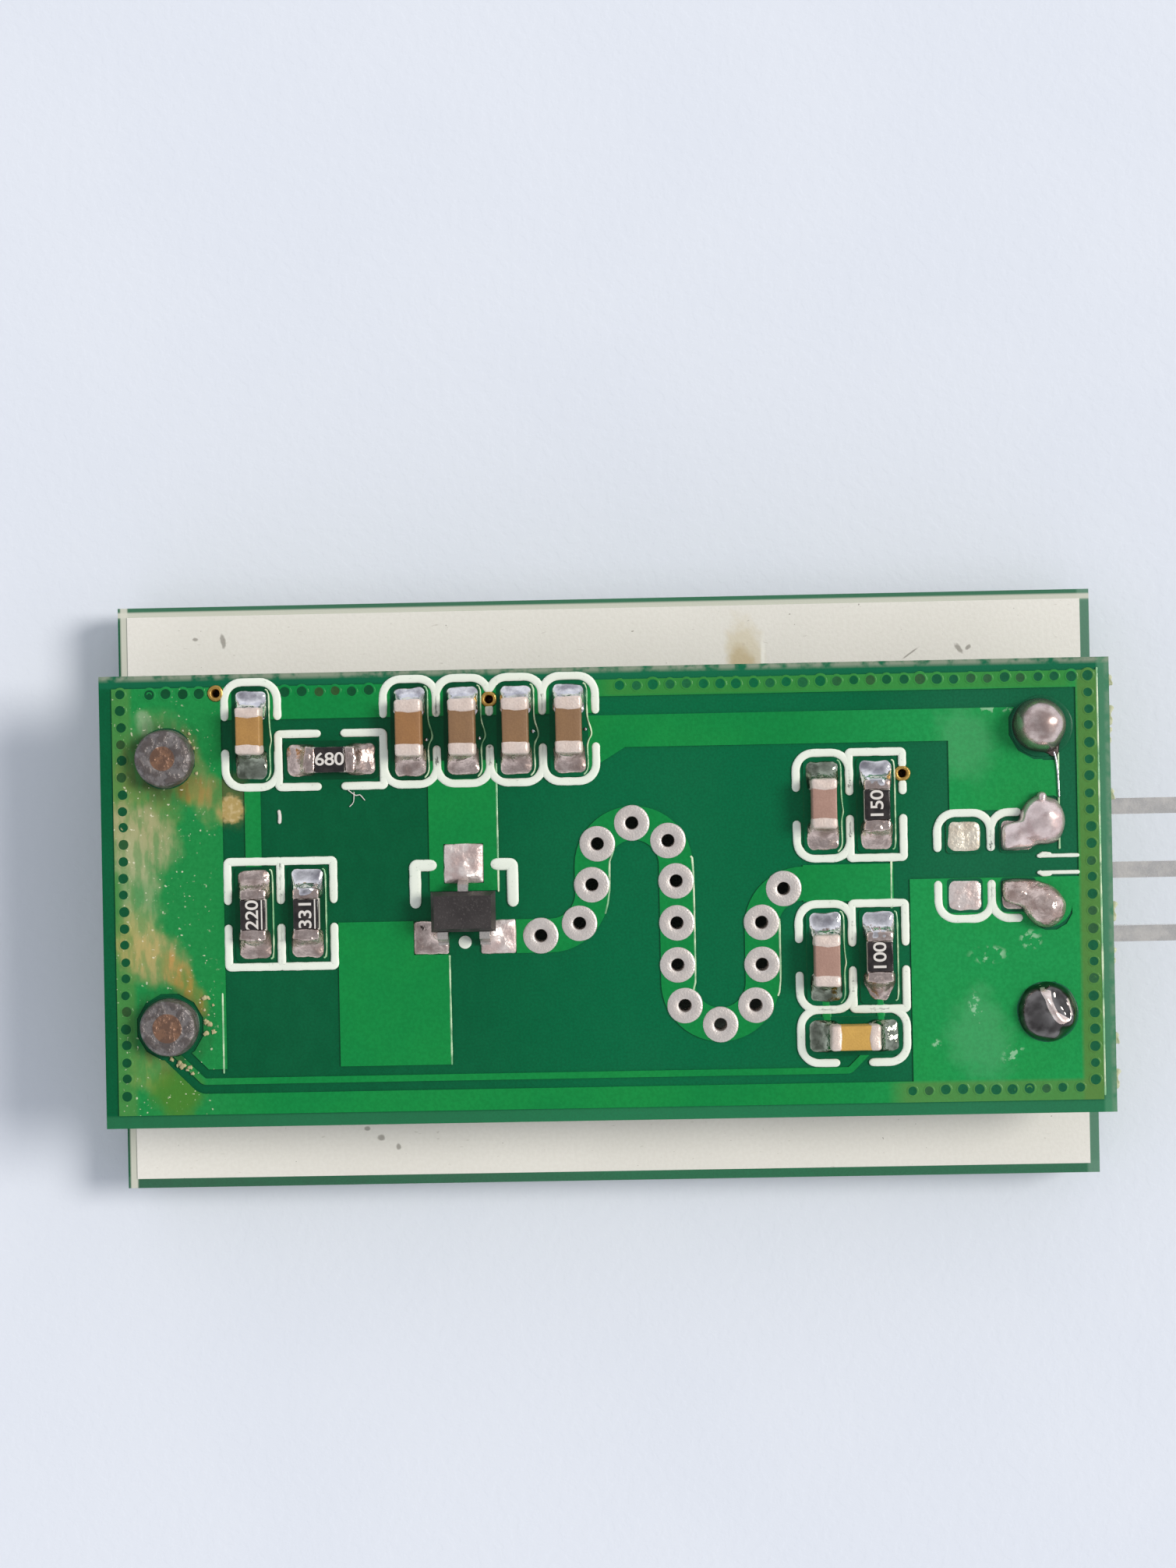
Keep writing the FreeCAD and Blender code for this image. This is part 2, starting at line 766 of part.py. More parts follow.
arrow_front = mm("right_ground_rear") + pen / 2
arrow_rear = arrow_front + 2 * pen
arrow_start = mm(BLOBS["rear"][0]) - mm("blob_radius") / 2
arrow_end = right_edge - mm("right_strip_width")
for level, side in ((arrow_front, -1), (arrow_rear, 1)):
    ink_strokes.append(pen_stroke(plain_line([(arrow_start, level), (arrow_end, level)]), pen / 2, ink))
    barb = [(arrow_start, level), (arrow_start + 2 * pen, level), (arrow_start + pen, level + side * pen / 2)]
    ink_strokes.append(prism(barb, ink))

under_metal = [disc(*land, ink) for land in post_lands + blob_lands]
under_metal += [disc(x, y, radius, ink) for x, y, radius, _ in vias]
under_metal += [pad(*rectangle, ink) for rectangle in pad_rectangles]
component_outlines = joined(ink_strokes).cut(under_metal)
shape_node("component_outlines", lifted(component_outlines, copper), RADIO_FACE)


# White print and the antenna patches

print_half_length = mm("board_length") / 2 - mm("print_inset")
print_half_width = mm("antenna_board_width") / 2 - mm("print_inset")
print_clear = mm(POST_HOLE) + mm("print_clearance")
white_print = field(-print_half_length, print_half_length, -print_half_width, print_half_width, ink)
white_print = white_print.cut([disc(*point(spot), print_clear, ink) for spot in POSTS.values()])
shape_node("white_print", white_print, ANTENNA_FACE)

patch_start = mm("patch_slot") / 2
patch_length = mm("board_length") / 2 - mm("patch_inset") - patch_start
patches = Part.makeCompound([
    pad(side * (patch_start + patch_length / 2), 0, patch_length, mm("patch_width"), copper) for side in (-1, 1)
])
shape_node("antenna_patches", lifted(patches, -copper), "sizes.foot_height")


# Wire posts and their solder

TOP_STUBS = {
    "rear_left": "sizes.open_post_stub",
    "front_left": "sizes.pad_thickness",
    "rear_right": "sizes.pad_thickness",
    "front_right": "sizes.pad_thickness",
}

for corner, (along, across) in POSTS.items():
    post = doc.addObject("Part::Cylinder", f"post_{corner}")
    bind(post, Radius="sizes.post_radius", Height=f"{RADIO_FACE} - sizes.foot_height + {TOP_STUBS[corner]}")
    place(post, along, across, "sizes.foot_height")
    node(post, f"post_{corner}")


def turned_piece(points):
    """Piece turned about the vertical axis, from the points of half its section."""
    section = [Vector(radius, 0, level) for radius, level in points]
    outline = Part.makePolygon(section + section[:1])
    return Part.Face(outline).revolve(Vector(0, 0, 0), Vector(0, 0, 1), 360)


def dome(base_radius, height, bands):
    """Solder cap: part of a ball over a round base."""
    ball = (base_radius**2 + height**2) / (2 * height)
    sink = height - ball
    low_angle = math.asin(-sink / ball)
    points = [(0, 0), (base_radius, 0)]
    for step in range(1, bands):
        angle = low_angle + (math.pi / 2 - low_angle) * step / bands
        points.append((ball * math.cos(angle), sink + ball * math.sin(angle)))
    return turned_piece(points + [(0, height)])


def flat_cap(base_radius, crown_radius, height):
    """Dull solder that stops flush with the end of its post, with a sloping shoulder."""
    core = mm("post_radius")
    shoulder = base_radius - crown_radius
    return turned_piece([
        (core, 0),
        (base_radius, 0),
        (base_radius - shoulder / 3, height - shoulder),
        (crown_radius, height),
        (core, height),
    ])


land_top = mm("pad_thickness")
TOP_SOLDER = {
    "rear_left": flat_cap(mm("flat_solder_radius"), mm("flat_solder_crown"), mm("open_post_stub") - land_top),
    "front_left": dome(mm("flat_solder_radius"), mm("capped_solder_height"), TOP_BANDS),
    "rear_right": dome(mm("bead_radius"), mm("bead_height"), TOP_BANDS),
    "front_right": dome(mm("ridge_solder_radius"), mm("ridge_solder_height"), TOP_BANDS),
}
for corner, cap in TOP_SOLDER.items():
    x, y = point(POSTS[corner])
    shape_node(f"top_solder_{corner}", cap.translated(Vector(x, y, land_top)), RADIO_FACE)

foot = dome(mm("foot_radius"), mm("foot_height"), FOOT_BANDS)
foot.rotate(Vector(0, 0, 0), Vector(1, 0, 0), 180)
for corner, spot in POSTS.items():
    x, y = point(spot)
    shape_node(f"foot_solder_{corner}", foot.translated(Vector(x, y, 0)), "sizes.foot_height")


# Solder blobs that run into the pads of the half-drawn outline

for name, spot in BLOBS.items():
    x, y = point(spot)
    side = 1 if name == "rear" else -1
    pad_x, pad_y = spare_x, spare_y + side * pad_reach
    blob = dome(mm("blob_radius"), mm("blob_height"), TOP_BANDS).translated(Vector(x, y, 0))
    tongue = pen_stroke(plain_line([(pad_x, pad_y), (x, y)]), half_pad, mm("blob_height") / 3)
    shape_node(f"solder_blob_{name}", lifted(joined([blob, tongue]), land_top), RADIO_FACE)


# Header pins, flat under the radio board

PIN_LEVEL = f"{RADIO_UNDERSIDE} - sizes.pad_thickness - sizes.pin_width"
PIN_START = "sizes.board_length / 2 - sizes.pin_seat"


def pin_row(step):
    return f"sizes.pin_row_offset + {step} * sizes.pin_pitch"


def header_pin(label, across):
    """Square pin with a blunt point on its free end."""
    body = doc.addObject("PartDesign::Body", label)
    section = next(feature for feature in body.Origin.OriginFeatures if feature.Role == "YZ_Plane")
    sketch = body.newObject("Sketcher::SketchObject", f"{label}_section")
    sketch.AttachmentSupport = [(section, "")]
    sketch.MapMode = "FlatFace"
    corners = [Vector(-1, 0, 0), Vector(1, 0, 0), Vector(1, 1, 0), Vector(-1, 1, 0)]
    for corner, following in zip(corners, corners[1:] + corners[:1]):
        sketch.addGeometry(Part.LineSegment(corner, following))
    for side in range(4):
        sketch.addConstraint(Sketcher.Constraint("Coincident", side, 2, (side + 1) % 4, 1))
    for side, direction in ((0, "Horizontal"), (1, "Vertical"), (2, "Horizontal"), (3, "Vertical")):
        sketch.addConstraint(Sketcher.Constraint(direction, side))
    sketch.addConstraint(Sketcher.Constraint("Symmetric", 0, 1, 0, 2, -1, 1))
    for direction, side in (("DistanceX", 0), ("DistanceY", 1)):
        index = sketch.addConstraint(Sketcher.Constraint(direction, side, 1, side, 2, 1.0))
        sketch.setExpression(f"Constraints[{index}]", "sizes.pin_width")
    bar = body.newObject("PartDesign::Pad", f"{label}_bar")
    bar.Profile = sketch
    bar.setExpression("Length", "sizes.pin_seat + sizes.pin_reach")
    doc.recompute()
    free_end = max(range(len(bar.Shape.Faces)), key=lambda index: bar.Shape.Faces[index].CenterOfMass.x)
    point_cut = body.newObject("PartDesign::Chamfer", f"{label}_point")
    point_cut.Base = (bar, [f"Face{free_end + 1}"])
    point_cut.setExpression("Size", "sizes.pin_point")
    place(body, PIN_START, across, PIN_LEVEL)
    return node(body, label)


for number, step in enumerate((1, 0, -1), start=1):
    header_pin(f"header_pin_{number}", pin_row(step))

pin_pads = []
pin_solder = []
half_pin = mm("pin_width") / 2
pin_pad_end = mm("board_length") / 2 - mm("pin_pad_inset")
solder_start = pin_pad_end - mm("pin_solder_length")
for step in (1, 0, -1):
    y = mm(pin_row(step))
    pin_pads.append(
        pad(
            pin_pad_end - mm("pin_pad_length") / 2,
            y,
            mm("pin_pad_length"),
            mm("pin_pad_breadth"),
            mm("pad_thickness"),
        )
    )
    for side in (-1, 1):
        inner = y + side * half_pin
        outer = y + side * (mm("pin_pad_breadth") / 2 - mm("pad_thickness"))
        rise = 0.8 * mm("pin_width")
        section = Part.makePolygon([
            Vector(solder_start, inner, 0),
            Vector(solder_start, outer, 0),
            Vector(solder_start, inner, -rise),
            Vector(solder_start, inner, 0),
        ])
        pin_solder.append(Part.Face(section).extrude(Vector(mm("pin_solder_length"), 0, 0)))
shape_node("pin_solder", Part.makeCompound(pin_solder), f"{RADIO_UNDERSIDE} - sizes.pad_thickness")


# Chip parts: one fired piece each, a bar with metal ends slightly proud of it


def chip(label, kind, along, across, level, lies=False, under=False):
    length = f"sizes.{kind}_length"
    breadth = f"sizes.{kind}_breadth"
    height = f"sizes.{kind}_height"
    proud = "sizes.chip_end_proud"
    bar = doc.addObject("Part::Box", f"{label}_bar")
    bind(bar, Length=f"{length} - sizes.chip_end", Width=f"{breadth} - 2 * {proud}", Height=f"{height} - 2 * {proud}")
    bar.setExpression("Placement.Base.x", f"-({length} - sizes.chip_end) / 2")
    bar.setExpression("Placement.Base.y", f"-{breadth} / 2 + {proud}")
    bar.setExpression("Placement.Base.z", proud)
    pieces = [bar]
    for name, start in (("near", f"-{length} / 2"), ("far", f"{length} / 2 - sizes.chip_end")):
        block = doc.addObject("Part::Box", f"{label}_{name}_block")
        bind(block, Length="sizes.chip_end", Width=breadth, Height=height)
        block.setExpression("Placement.Base.x", start)
        block.setExpression("Placement.Base.y", f"-{breadth} / 2")
        block.recompute()
        outer_x = block.Shape.BoundBox.XMin if name == "near" else block.Shape.BoundBox.XMax
        outer_edges = [
            number
            for number, edge in enumerate(block.Shape.Edges, start=1)
            if abs(edge.CenterOfMass.x - outer_x) < mm("chip_edge") / 2
        ]
        cap = doc.addObject("Part::Chamfer", f"{label}_{name}_end")
        cap.Base = block
        cap.Edges = [(number, mm("chip_edge"), mm("chip_edge")) for number in outer_edges]
        pieces.append(cap)
    whole = doc.addObject("Part::MultiFuse", label)
    whole.Shapes = pieces
    turn = Rotation(Vector(0, 0, 1), 0 if lies else 90)
    flip = Rotation(Vector(0, 1, 0), 180 if under else 0)
    whole.Placement = Placement(Vector(0, 0, 0), turn.multiply(flip))
    place(whole, along, across, level)
    return node(whole, label)


def chip_solder(x, y, kind, lies, under=False):
    """Two hollow-faced fillets between a chip's ends and its pads, drawn from the pads' face."""
    start = mm(f"{kind}_length") / 2
    finish = mm("pad_reach") + half_pad
    rise = 0.6 * mm(f"{kind}_height")
    breadth = mm(f"{kind}_breadth") - 2 * mm("chip_edge")
    hollow = Vector(start + 0.35 * (finish - start), -breadth / 2, 0.42 * rise)
    low = Vector(start, -breadth / 2, 0)
    toe = Vector(finish, -breadth / 2, 0)
    high = Vector(start, -breadth / 2, rise)
    section = Part.makePolygon([low, toe, hollow, high, low])
    fillet = Part.Face(section).extrude(Vector(0, breadth, 0))
    fillets = []
    for turn in (0, 180):
        copy = fillet.copy()
        copy.rotate(Vector(0, 0, 0), Vector(1, 0, 0), 180 if under else 0)
        copy.rotate(Vector(0, 0, 0), Vector(0, 0, 1), turn + (0 if lies else 90))
        copy.translate(Vector(x, y, 0))
        fillets.append(copy)
    return fillets


CHIP_LEVEL = f"{RADIO_FACE} + sizes.pad_thickness"
fillets = []
for spot in OUTLINES:
    across = spot["across"]
    if spot["kind"] == "capacitor" and not spot["lies"]:
        across = f"{across} + sizes.capacitor_shift"
    chip(spot["name"], spot["kind"], spot["along"], across, CHIP_LEVEL, spot["lies"])
    for fillet in chip_solder(mm(spot["along"]), mm(across), spot["kind"], spot["lies"]):
        footprint = [
            pad(*rectangle, mm("capacitor_height"))
            for rectangle in chip_pads(mm(spot["along"]), mm(spot["across"]), spot["lies"])
        ]
        fillets.append(fillet.common(Part.makeCompound(footprint)))
shape_node("chip_solder", lifted(Part.makeCompound(fillets), land_top), RADIO_FACE)


# Moulded parts with gull-wing leads


def moulded_body(label, kind, along, across, level, turn=0):
    """Moulded block with a parting line at half height, drafted both ways from it."""
    halves = []
    draft = "sizes.mould_draft"
    half_height = f"sizes.{kind}_height / 2"
    for name, side in (("lower", -1), ("upper", 1)):
        half = doc.addObject("Part::Wedge", f"{label}_{name}")
        wide = {"X": f"sizes.{kind}_length / 2", "Z": f"sizes.{kind}_breadth / 2"}
        for axis, reach in wide.items():
            near, far = (f"{axis}2", axis) if side < 0 else (axis, f"{axis}2")
            half.setExpression(f"{near}min", f"-({reach})")
            half.setExpression(f"{near}max", reach)
            half.setExpression(f"{far}min", f"-({reach}) + {draft}")
            half.setExpression(f"{far}max", f"{reach} - {draft}")
        half.setExpression("Ymin", f"-{half_height}" if side < 0 else "0")
        half.setExpression("Ymax", "0" if side < 0 else half_height)
        half.Placement = Placement(Vector(0, 0, 0), Rotation(Vector(1, 0, 0), 90))
        halves.append(half)
    block = doc.addObject("Part::MultiFuse", label)
    block.Shapes = halves
    block.Placement = Placement(Vector(0, 0, 0), Rotation(Vector(0, 0, 1), turn))
    place(block, along, across, level)
    return node(block, label)


def gull_wing(kind, offset, side):
    """One lead: out of the body's side at half height, down, and flat on its pad at level zero."""
    thickness = mm("lead_thickness")
    middle = mm("standoff") + mm(f"{kind}_height") / 2
    root = mm(f"{kind}_breadth") / 2
    tip = mm(f"{kind}_span") / 2
    shoulder = root + 0.35 * (tip - root)
    half = thickness / 2
    profile = [
        (root, middle - half),
        (shoulder - half, middle - half),
        (shoulder + half, 0),
        (tip, 0),
        (tip, thickness),
        (shoulder + 1.5 * thickness, thickness),
        (shoulder + half, middle + half),
        (root, middle + half),
    ]
    ribbon = prism(profile, mm(f"{kind}_lead_width"))
    ribbon.rotate(Vector(0, 0, 0), Vector(1, 0, 0), 90)
    ribbon.rotate(Vector(0, 0, 0), Vector(0, 0, 1), 90 * side)
    ribbon.translate(Vector(offset - side * mm(f"{kind}_lead_width") / 2, 0, 0))
    return ribbon


def body_level(kind, side):
    """Level of a moulded body's middle, over a pad on the face or under one on the underside."""
    face = RADIO_FACE if side > 0 else RADIO_UNDERSIDE
    sign = "+" if side > 0 else "-"
    return f"{face} {sign} (sizes.pad_thickness + sizes.standoff + sizes.{kind}_height / 2)"


def leads_node(label, body, kind, rows, along, across, turn, side):
    """All leads of a moulded part, cut flush with the body's sides."""
    leads = [gull_wing(kind, offset, row) for row, offsets in rows.items() for offset in offsets]
    group = Part.makeCompound(leads)
    if side < 0:
        group.rotate(Vector(0, 0, 0), Vector(0, 1, 0), 180)
    group.rotate(Vector(0, 0, 0), Vector(0, 0, 1), turn)
    face = RADIO_FACE if side > 0 else RADIO_UNDERSIDE
    level = mm(face) + side * mm("pad_thickness")
    group.translate(Vector(mm(MIDDLE) + mm(along), mm(across), level))
    doc.recompute()
    part = doc.addObject("Part::Feature", label)
    part.Shape = group.cut(body.Shape)
    return node(part, label)


def even_row(count, pitch):
    return [(index - (count - 1) / 2) * pitch for index in range(count)]


transistor = moulded_body(
    "transistor_body",
    "transistor",
    "-sizes.transistor_left",
    "-sizes.transistor_front",
    body_level("transistor", 1),
)
transistor_rows = {1: [0.0], -1: even_row(2, mm("transistor_lead_pitch"))}
leads_node(
    "transistor_leads",
    transistor,
    "transistor",
    transistor_rows,
    "-sizes.transistor_left",
    "-sizes.transistor_front",
    0,
    1,
)

# Under the radio board: amplifier at the left, controller at the right, regulator in front of it

HIDDEN = {
    "amplifier": ("small_outline", UNDER_LEFT, "0", 90),
    "controller": ("small_outline", UNDER_RIGHT, "sizes.pin_row_offset", 90),
    "regulator": ("regulator", UNDER_RIGHT, "-sizes.regulator_front", 0),
}
outline_row = even_row(LEADS_PER_SIDE, mm("small_outline_pitch"))
HIDDEN_ROWS = {
    "small_outline": {1: outline_row, -1: outline_row},
    "regulator": {1: [0.0], -1: even_row(2, mm("regulator_pitch"))},
}

under_pads = list(pin_pads)


def lead_pads(kind, rows, along, across, turn):
    """Pads under the feet of a part on the underside."""
    tip = mm(f"{kind}_span") / 2
    root = mm(f"{kind}_breadth") / 2
    margin = mm("foot_pad_margin")
    start = root + 0.35 * (tip - root)
    length = tip - start + 2 * margin
    breadth = mm(f"{kind}_lead_width") + margin
    pieces = []
    for row, offsets in rows.items():
        for offset in offsets:
            piece = pad(-offset, row * (start + tip) / 2, breadth, length, mm("pad_thickness"))
            pieces.append(piece)
    group = Part.makeCompound(pieces)
    group.rotate(Vector(0, 0, 0), Vector(0, 0, 1), turn)
    group.translate(Vector(mm(along), mm(across), 0))
    return group


for name, (kind, along, across, turn) in HIDDEN.items():
    block = moulded_body(f"{name}_body", kind, along, across, body_level(kind, -1), turn)
    leads_node(f"{name}_leads", block, kind, HIDDEN_ROWS[kind], along, across, turn, -1)
    under_pads.append(lead_pads(kind, HIDDEN_ROWS[kind], along, across, turn))

HIDDEN_CHIPS = [
    ("under_capacitor_1", "capacitor", f"{UNDER_LEFT} - sizes.outline_width", "sizes.regulator_front"),
    ("under_resistor_1", "resistor", f"{UNDER_LEFT} + sizes.outline_width", "sizes.regulator_front"),
    ("under_capacitor_2", "capacitor", f"{UNDER_LEFT} - sizes.outline_width", "-sizes.regulator_front"),
    ("under_resistor_2", "resistor", f"{UNDER_LEFT} + sizes.outline_width", "-sizes.regulator_front"),
    ("under_capacitor_3", "capacitor", f"{UNDER_RIGHT} - sizes.outline_width", "sizes.regulator_front"),
    ("under_resistor_3", "resistor", f"{UNDER_RIGHT} + sizes.outline_width", "sizes.regulator_front"),
]
under_fillets = []
for name, kind, along, across in HIDDEN_CHIPS:
    chip(name, kind, along, across, f"{RADIO_UNDERSIDE} - sizes.pad_thickness", under=True)
    under_pads += [pad(*rectangle, land_top) for rectangle in chip_pads(mm(along), mm(across), False)]
    under_fillets += chip_solder(mm(along), mm(across), kind, False, under=True)

under_chip_solder = Part.makeCompound(under_fillets)
shape_node("under_chip_solder", under_chip_solder, f"{RADIO_UNDERSIDE} - sizes.pad_thickness")
shape_node("under_pads", lifted(Part.makeCompound(under_pads), -land_top), RADIO_UNDERSIDE)


# Checks, then one file for each sub-part

doc.recompute()
for thing in doc.Objects:
    if "Invalid" in thing.State or "Error" in thing.State:
        raise RuntimeError(f"{thing.Label} did not build: {thing.State}")
for part in nodes:
    if part.Shape.isNull() or not part.Shape.isValid() or not part.Shape.Solids:
        raise RuntimeError(f"{part.Label} has no valid solid")

os.makedirs("parts", exist_ok=True)
for part in nodes:
    part.Shape.exportStep(f"parts/{part.Label}.step")
print(f"{len(nodes)} sub-parts written")
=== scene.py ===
"""Looks of a microwave radar sensor module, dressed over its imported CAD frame.

A green radio board stands on four wire posts over a wider antenna board with a white face, and
three plated pins leave its right end. Layout numbers are millimetres from the middle of the boards:
x runs towards the pins, y towards the rear, and z up from the floor.
"""

import math
import random

import bmesh
import bpy
from mathutils import Matrix, Vector, noise


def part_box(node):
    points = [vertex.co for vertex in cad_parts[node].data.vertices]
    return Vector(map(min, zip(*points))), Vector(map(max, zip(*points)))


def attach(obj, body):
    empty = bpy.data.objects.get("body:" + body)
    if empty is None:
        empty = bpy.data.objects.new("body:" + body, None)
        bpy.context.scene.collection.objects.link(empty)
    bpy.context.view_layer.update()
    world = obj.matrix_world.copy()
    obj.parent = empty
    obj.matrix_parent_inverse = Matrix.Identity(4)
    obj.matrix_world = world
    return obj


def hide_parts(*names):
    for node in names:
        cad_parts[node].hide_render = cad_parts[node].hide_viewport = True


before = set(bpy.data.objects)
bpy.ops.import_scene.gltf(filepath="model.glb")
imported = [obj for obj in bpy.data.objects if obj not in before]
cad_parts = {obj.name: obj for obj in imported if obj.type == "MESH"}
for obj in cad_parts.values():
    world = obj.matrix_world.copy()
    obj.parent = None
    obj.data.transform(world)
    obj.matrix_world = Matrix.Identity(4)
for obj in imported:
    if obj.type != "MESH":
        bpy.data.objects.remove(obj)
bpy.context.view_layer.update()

MM = 0.001
board_low, board_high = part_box("radio_board")
MIDDLE_X = (board_low.x + board_high.x) / 2
FACE = board_high.z / MM
UNDERSIDE = board_low.z / MM
COPPER_TOP = FACE + 0.04
PAD_TOP = FACE + 0.06
SEAT = FACE + 0.02
BEYOND = 20  # a limit past every edge


# Camera: the photograph looks straight down, turned and tilted by about a degree

CAMERA_PLACE = (-1.1465, 3.2852, 83.8066)
CAMERA_TURN = (0.0754, 0.9827, -1.1207)
PHOTO_HEIGHT = 2012
FOCAL_PIXELS = 3250

camera_data = bpy.data.cameras.new("photo_camera")
camera_data.sensor_width = 36
camera_data.lens = FOCAL_PIXELS / PHOTO_HEIGHT * camera_data.sensor_width
camera_data.clip_start = 0.005
camera_data.clip_end = 5
camera = bpy.data.objects.new("photo_camera", camera_data)
camera.location = Vector(CAMERA_PLACE) * MM
camera.rotation_euler = [math.radians(turn) for turn in CAMERA_TURN]
scene = bpy.context.scene
scene.collection.objects.link(camera)
scene.camera = camera
scene.view_settings.view_transform = "Standard"


# Finishes


def linear(hex_colour):
    """Linear RGBA of an sRGB hex colour."""
    channels = [int(hex_colour[place : place + 2], 16) / 255 for place in (1, 3, 5)]
    bent = [c / 12.92 if c <= 0.04045 else ((c + 0.055) / 1.055) ** 2.4 for c in channels]
    return (*bent, 1.0)


def add(tree, kind, inputs=None, output=0, **settings):
    """Add a node, set it up, give its inputs their values or links, and return one output."""
    made = tree.nodes.new(kind)
    for name, value in settings.items():
        setattr(made, name, value)
    for name, value in (inputs or {}).items():
        if isinstance(value, bpy.types.NodeSocket):
            tree.links.new(value, made.inputs[name])
        else:
            made.inputs[name].default_value = value
    return made.outputs[output] if made.outputs else None


class Finish:
    """Procedural material with one shader; its patterns are placed in board millimetres."""

    def __init__(self, name, **constants):
        """Even values, such as Metallic, are set on the shader's own sockets."""
        self.material = bpy.data.materials.new(name)
        self.material.use_nodes = True
        self.tree = self.material.node_tree
        self.tree.nodes.clear()
        even = {label.replace("_", " "): value for label, value in constants.items()}
        shading = add(self.tree, "ShaderNodeBsdfPrincipled", even)
        add(self.tree, "ShaderNodeOutputMaterial", {"Surface": shading})
        self.shader = shading.node
        spot = add(self.tree, "ShaderNodeTexCoord", output="Object")
        to_board = {0: spot, 1: (1 / MM,) * 3, 2: (-MIDDLE_X / MM, 0, 0)}
        self.place = add(self.tree, "ShaderNodeVectorMath", to_board, operation="MULTIPLY_ADD")

    def product(self, first, *others):
        """Patterns or numbers multiplied together."""
        for other in others:
            first = add(self.tree, "ShaderNodeMath", {0: first, 1: other}, operation="MULTIPLY")
        return first

    def patches(self, size, low=0.4, high=0.6, detail=3.0, stretch=(1, 1, 1)):
        """Soft random patches of about that size, 0 to 1."""
        scale = {0: self.place, 1: stretch}
        scaled = add(self.tree, "ShaderNodeVectorMath", scale, operation="MULTIPLY")
        pattern = {"Vector": scaled, "Scale": 1 / size, "Detail": detail}
        clouds = add(self.tree, "ShaderNodeTexNoise", pattern)
        span = {"Value": clouds, "From Min": low, "From Max": high}
        return add(self.tree, "ShaderNodeMapRange", span, interpolation_type="SMOOTHSTEP")

    def band(self, axis, start, end, fade=0.1):
        """1 between two limits along an axis, faded over a short way."""
        along = add(self.tree, "ShaderNodeSeparateXYZ", {0: self.place}, axis)
        rise = {"Value": along, "From Min": start - fade, "From Max": start + fade}
        fall = {"Value": along, "From Min": end - fade, "From Max": end + fade}
        fall |= {"To Min": 1, "To Max": 0}
        return self.product(*(add(self.tree, "ShaderNodeMapRange", span) for span in (rise, fall)))

    def blot(self, x, y, length, breadth, turn=0.0, edge=0.4, ragged=0.5, size=0.6):
        """1 inside a ragged oval spot that fades over its rim."""
        tree = self.tree
        middle = {0: self.place, 1: (x, y, 0)}
        moved = add(tree, "ShaderNodeVectorMath", middle, operation="SUBTRACT")
        turning = {"Vector": moved, "Angle": math.radians(-turn)}
        turned = add(tree, "ShaderNodeVectorRotate", turning, rotation_type="Z_AXIS")
        scale = {0: turned, 1: (2 / length, 2 / breadth, 0)}
        scaled = add(tree, "ShaderNodeVectorMath", scale, operation="MULTIPLY")
        away = add(tree, "ShaderNodeVectorMath", {0: scaled}, "Value", operation="LENGTH")
        pattern = {"Vector": self.place, "Scale": 1 / size, "Detail": 4.0}
        clouds = add(tree, "ShaderNodeTexNoise", pattern)
        torn = {0: clouds, 1: 2 * ragged, 2: away}
        rough = add(tree, "ShaderNodeMath", torn, operation="MULTIPLY_ADD")
        rim = 1 + ragged
        span = {"Value": rough, "From Min": rim - edge, "From Max": rim + edge}
        span |= {"To Min": 1, "To Max": 0}
        return add(tree, "ShaderNodeMapRange", span, interpolation_type="SMOOTHSTEP")

    def coat(self, base, layers, roughness, relief, depth):
        """Lay colours over the base, each with its hex, strength and pattern, vary the roughness
        from smooth to coarse with a pattern, and raise a relief of that depth in millimetres."""
        tree, laid = self.tree, linear(base)
        for tone, strength, pattern in layers:
            share = self.product(pattern, strength)
            colours = {0: share, 6: laid, 7: linear(tone)}
            laid = add(tree, "ShaderNodeMix", colours, 2, data_type="RGBA")
        pattern, smooth, coarse = roughness
        varied = {"Value": pattern, "To Min": smooth, "To Max": coarse}
        raised = {"Height": relief, "Distance": depth * MM}
        tree.links.new(laid, self.shader.inputs["Base Color"])
        rough = add(tree, "ShaderNodeMapRange", varied)
        tree.links.new(rough, self.shader.inputs["Roughness"])
        tree.links.new(add(tree, "ShaderNodeBump", raised), self.shader.inputs["Normal"])
        return self.material


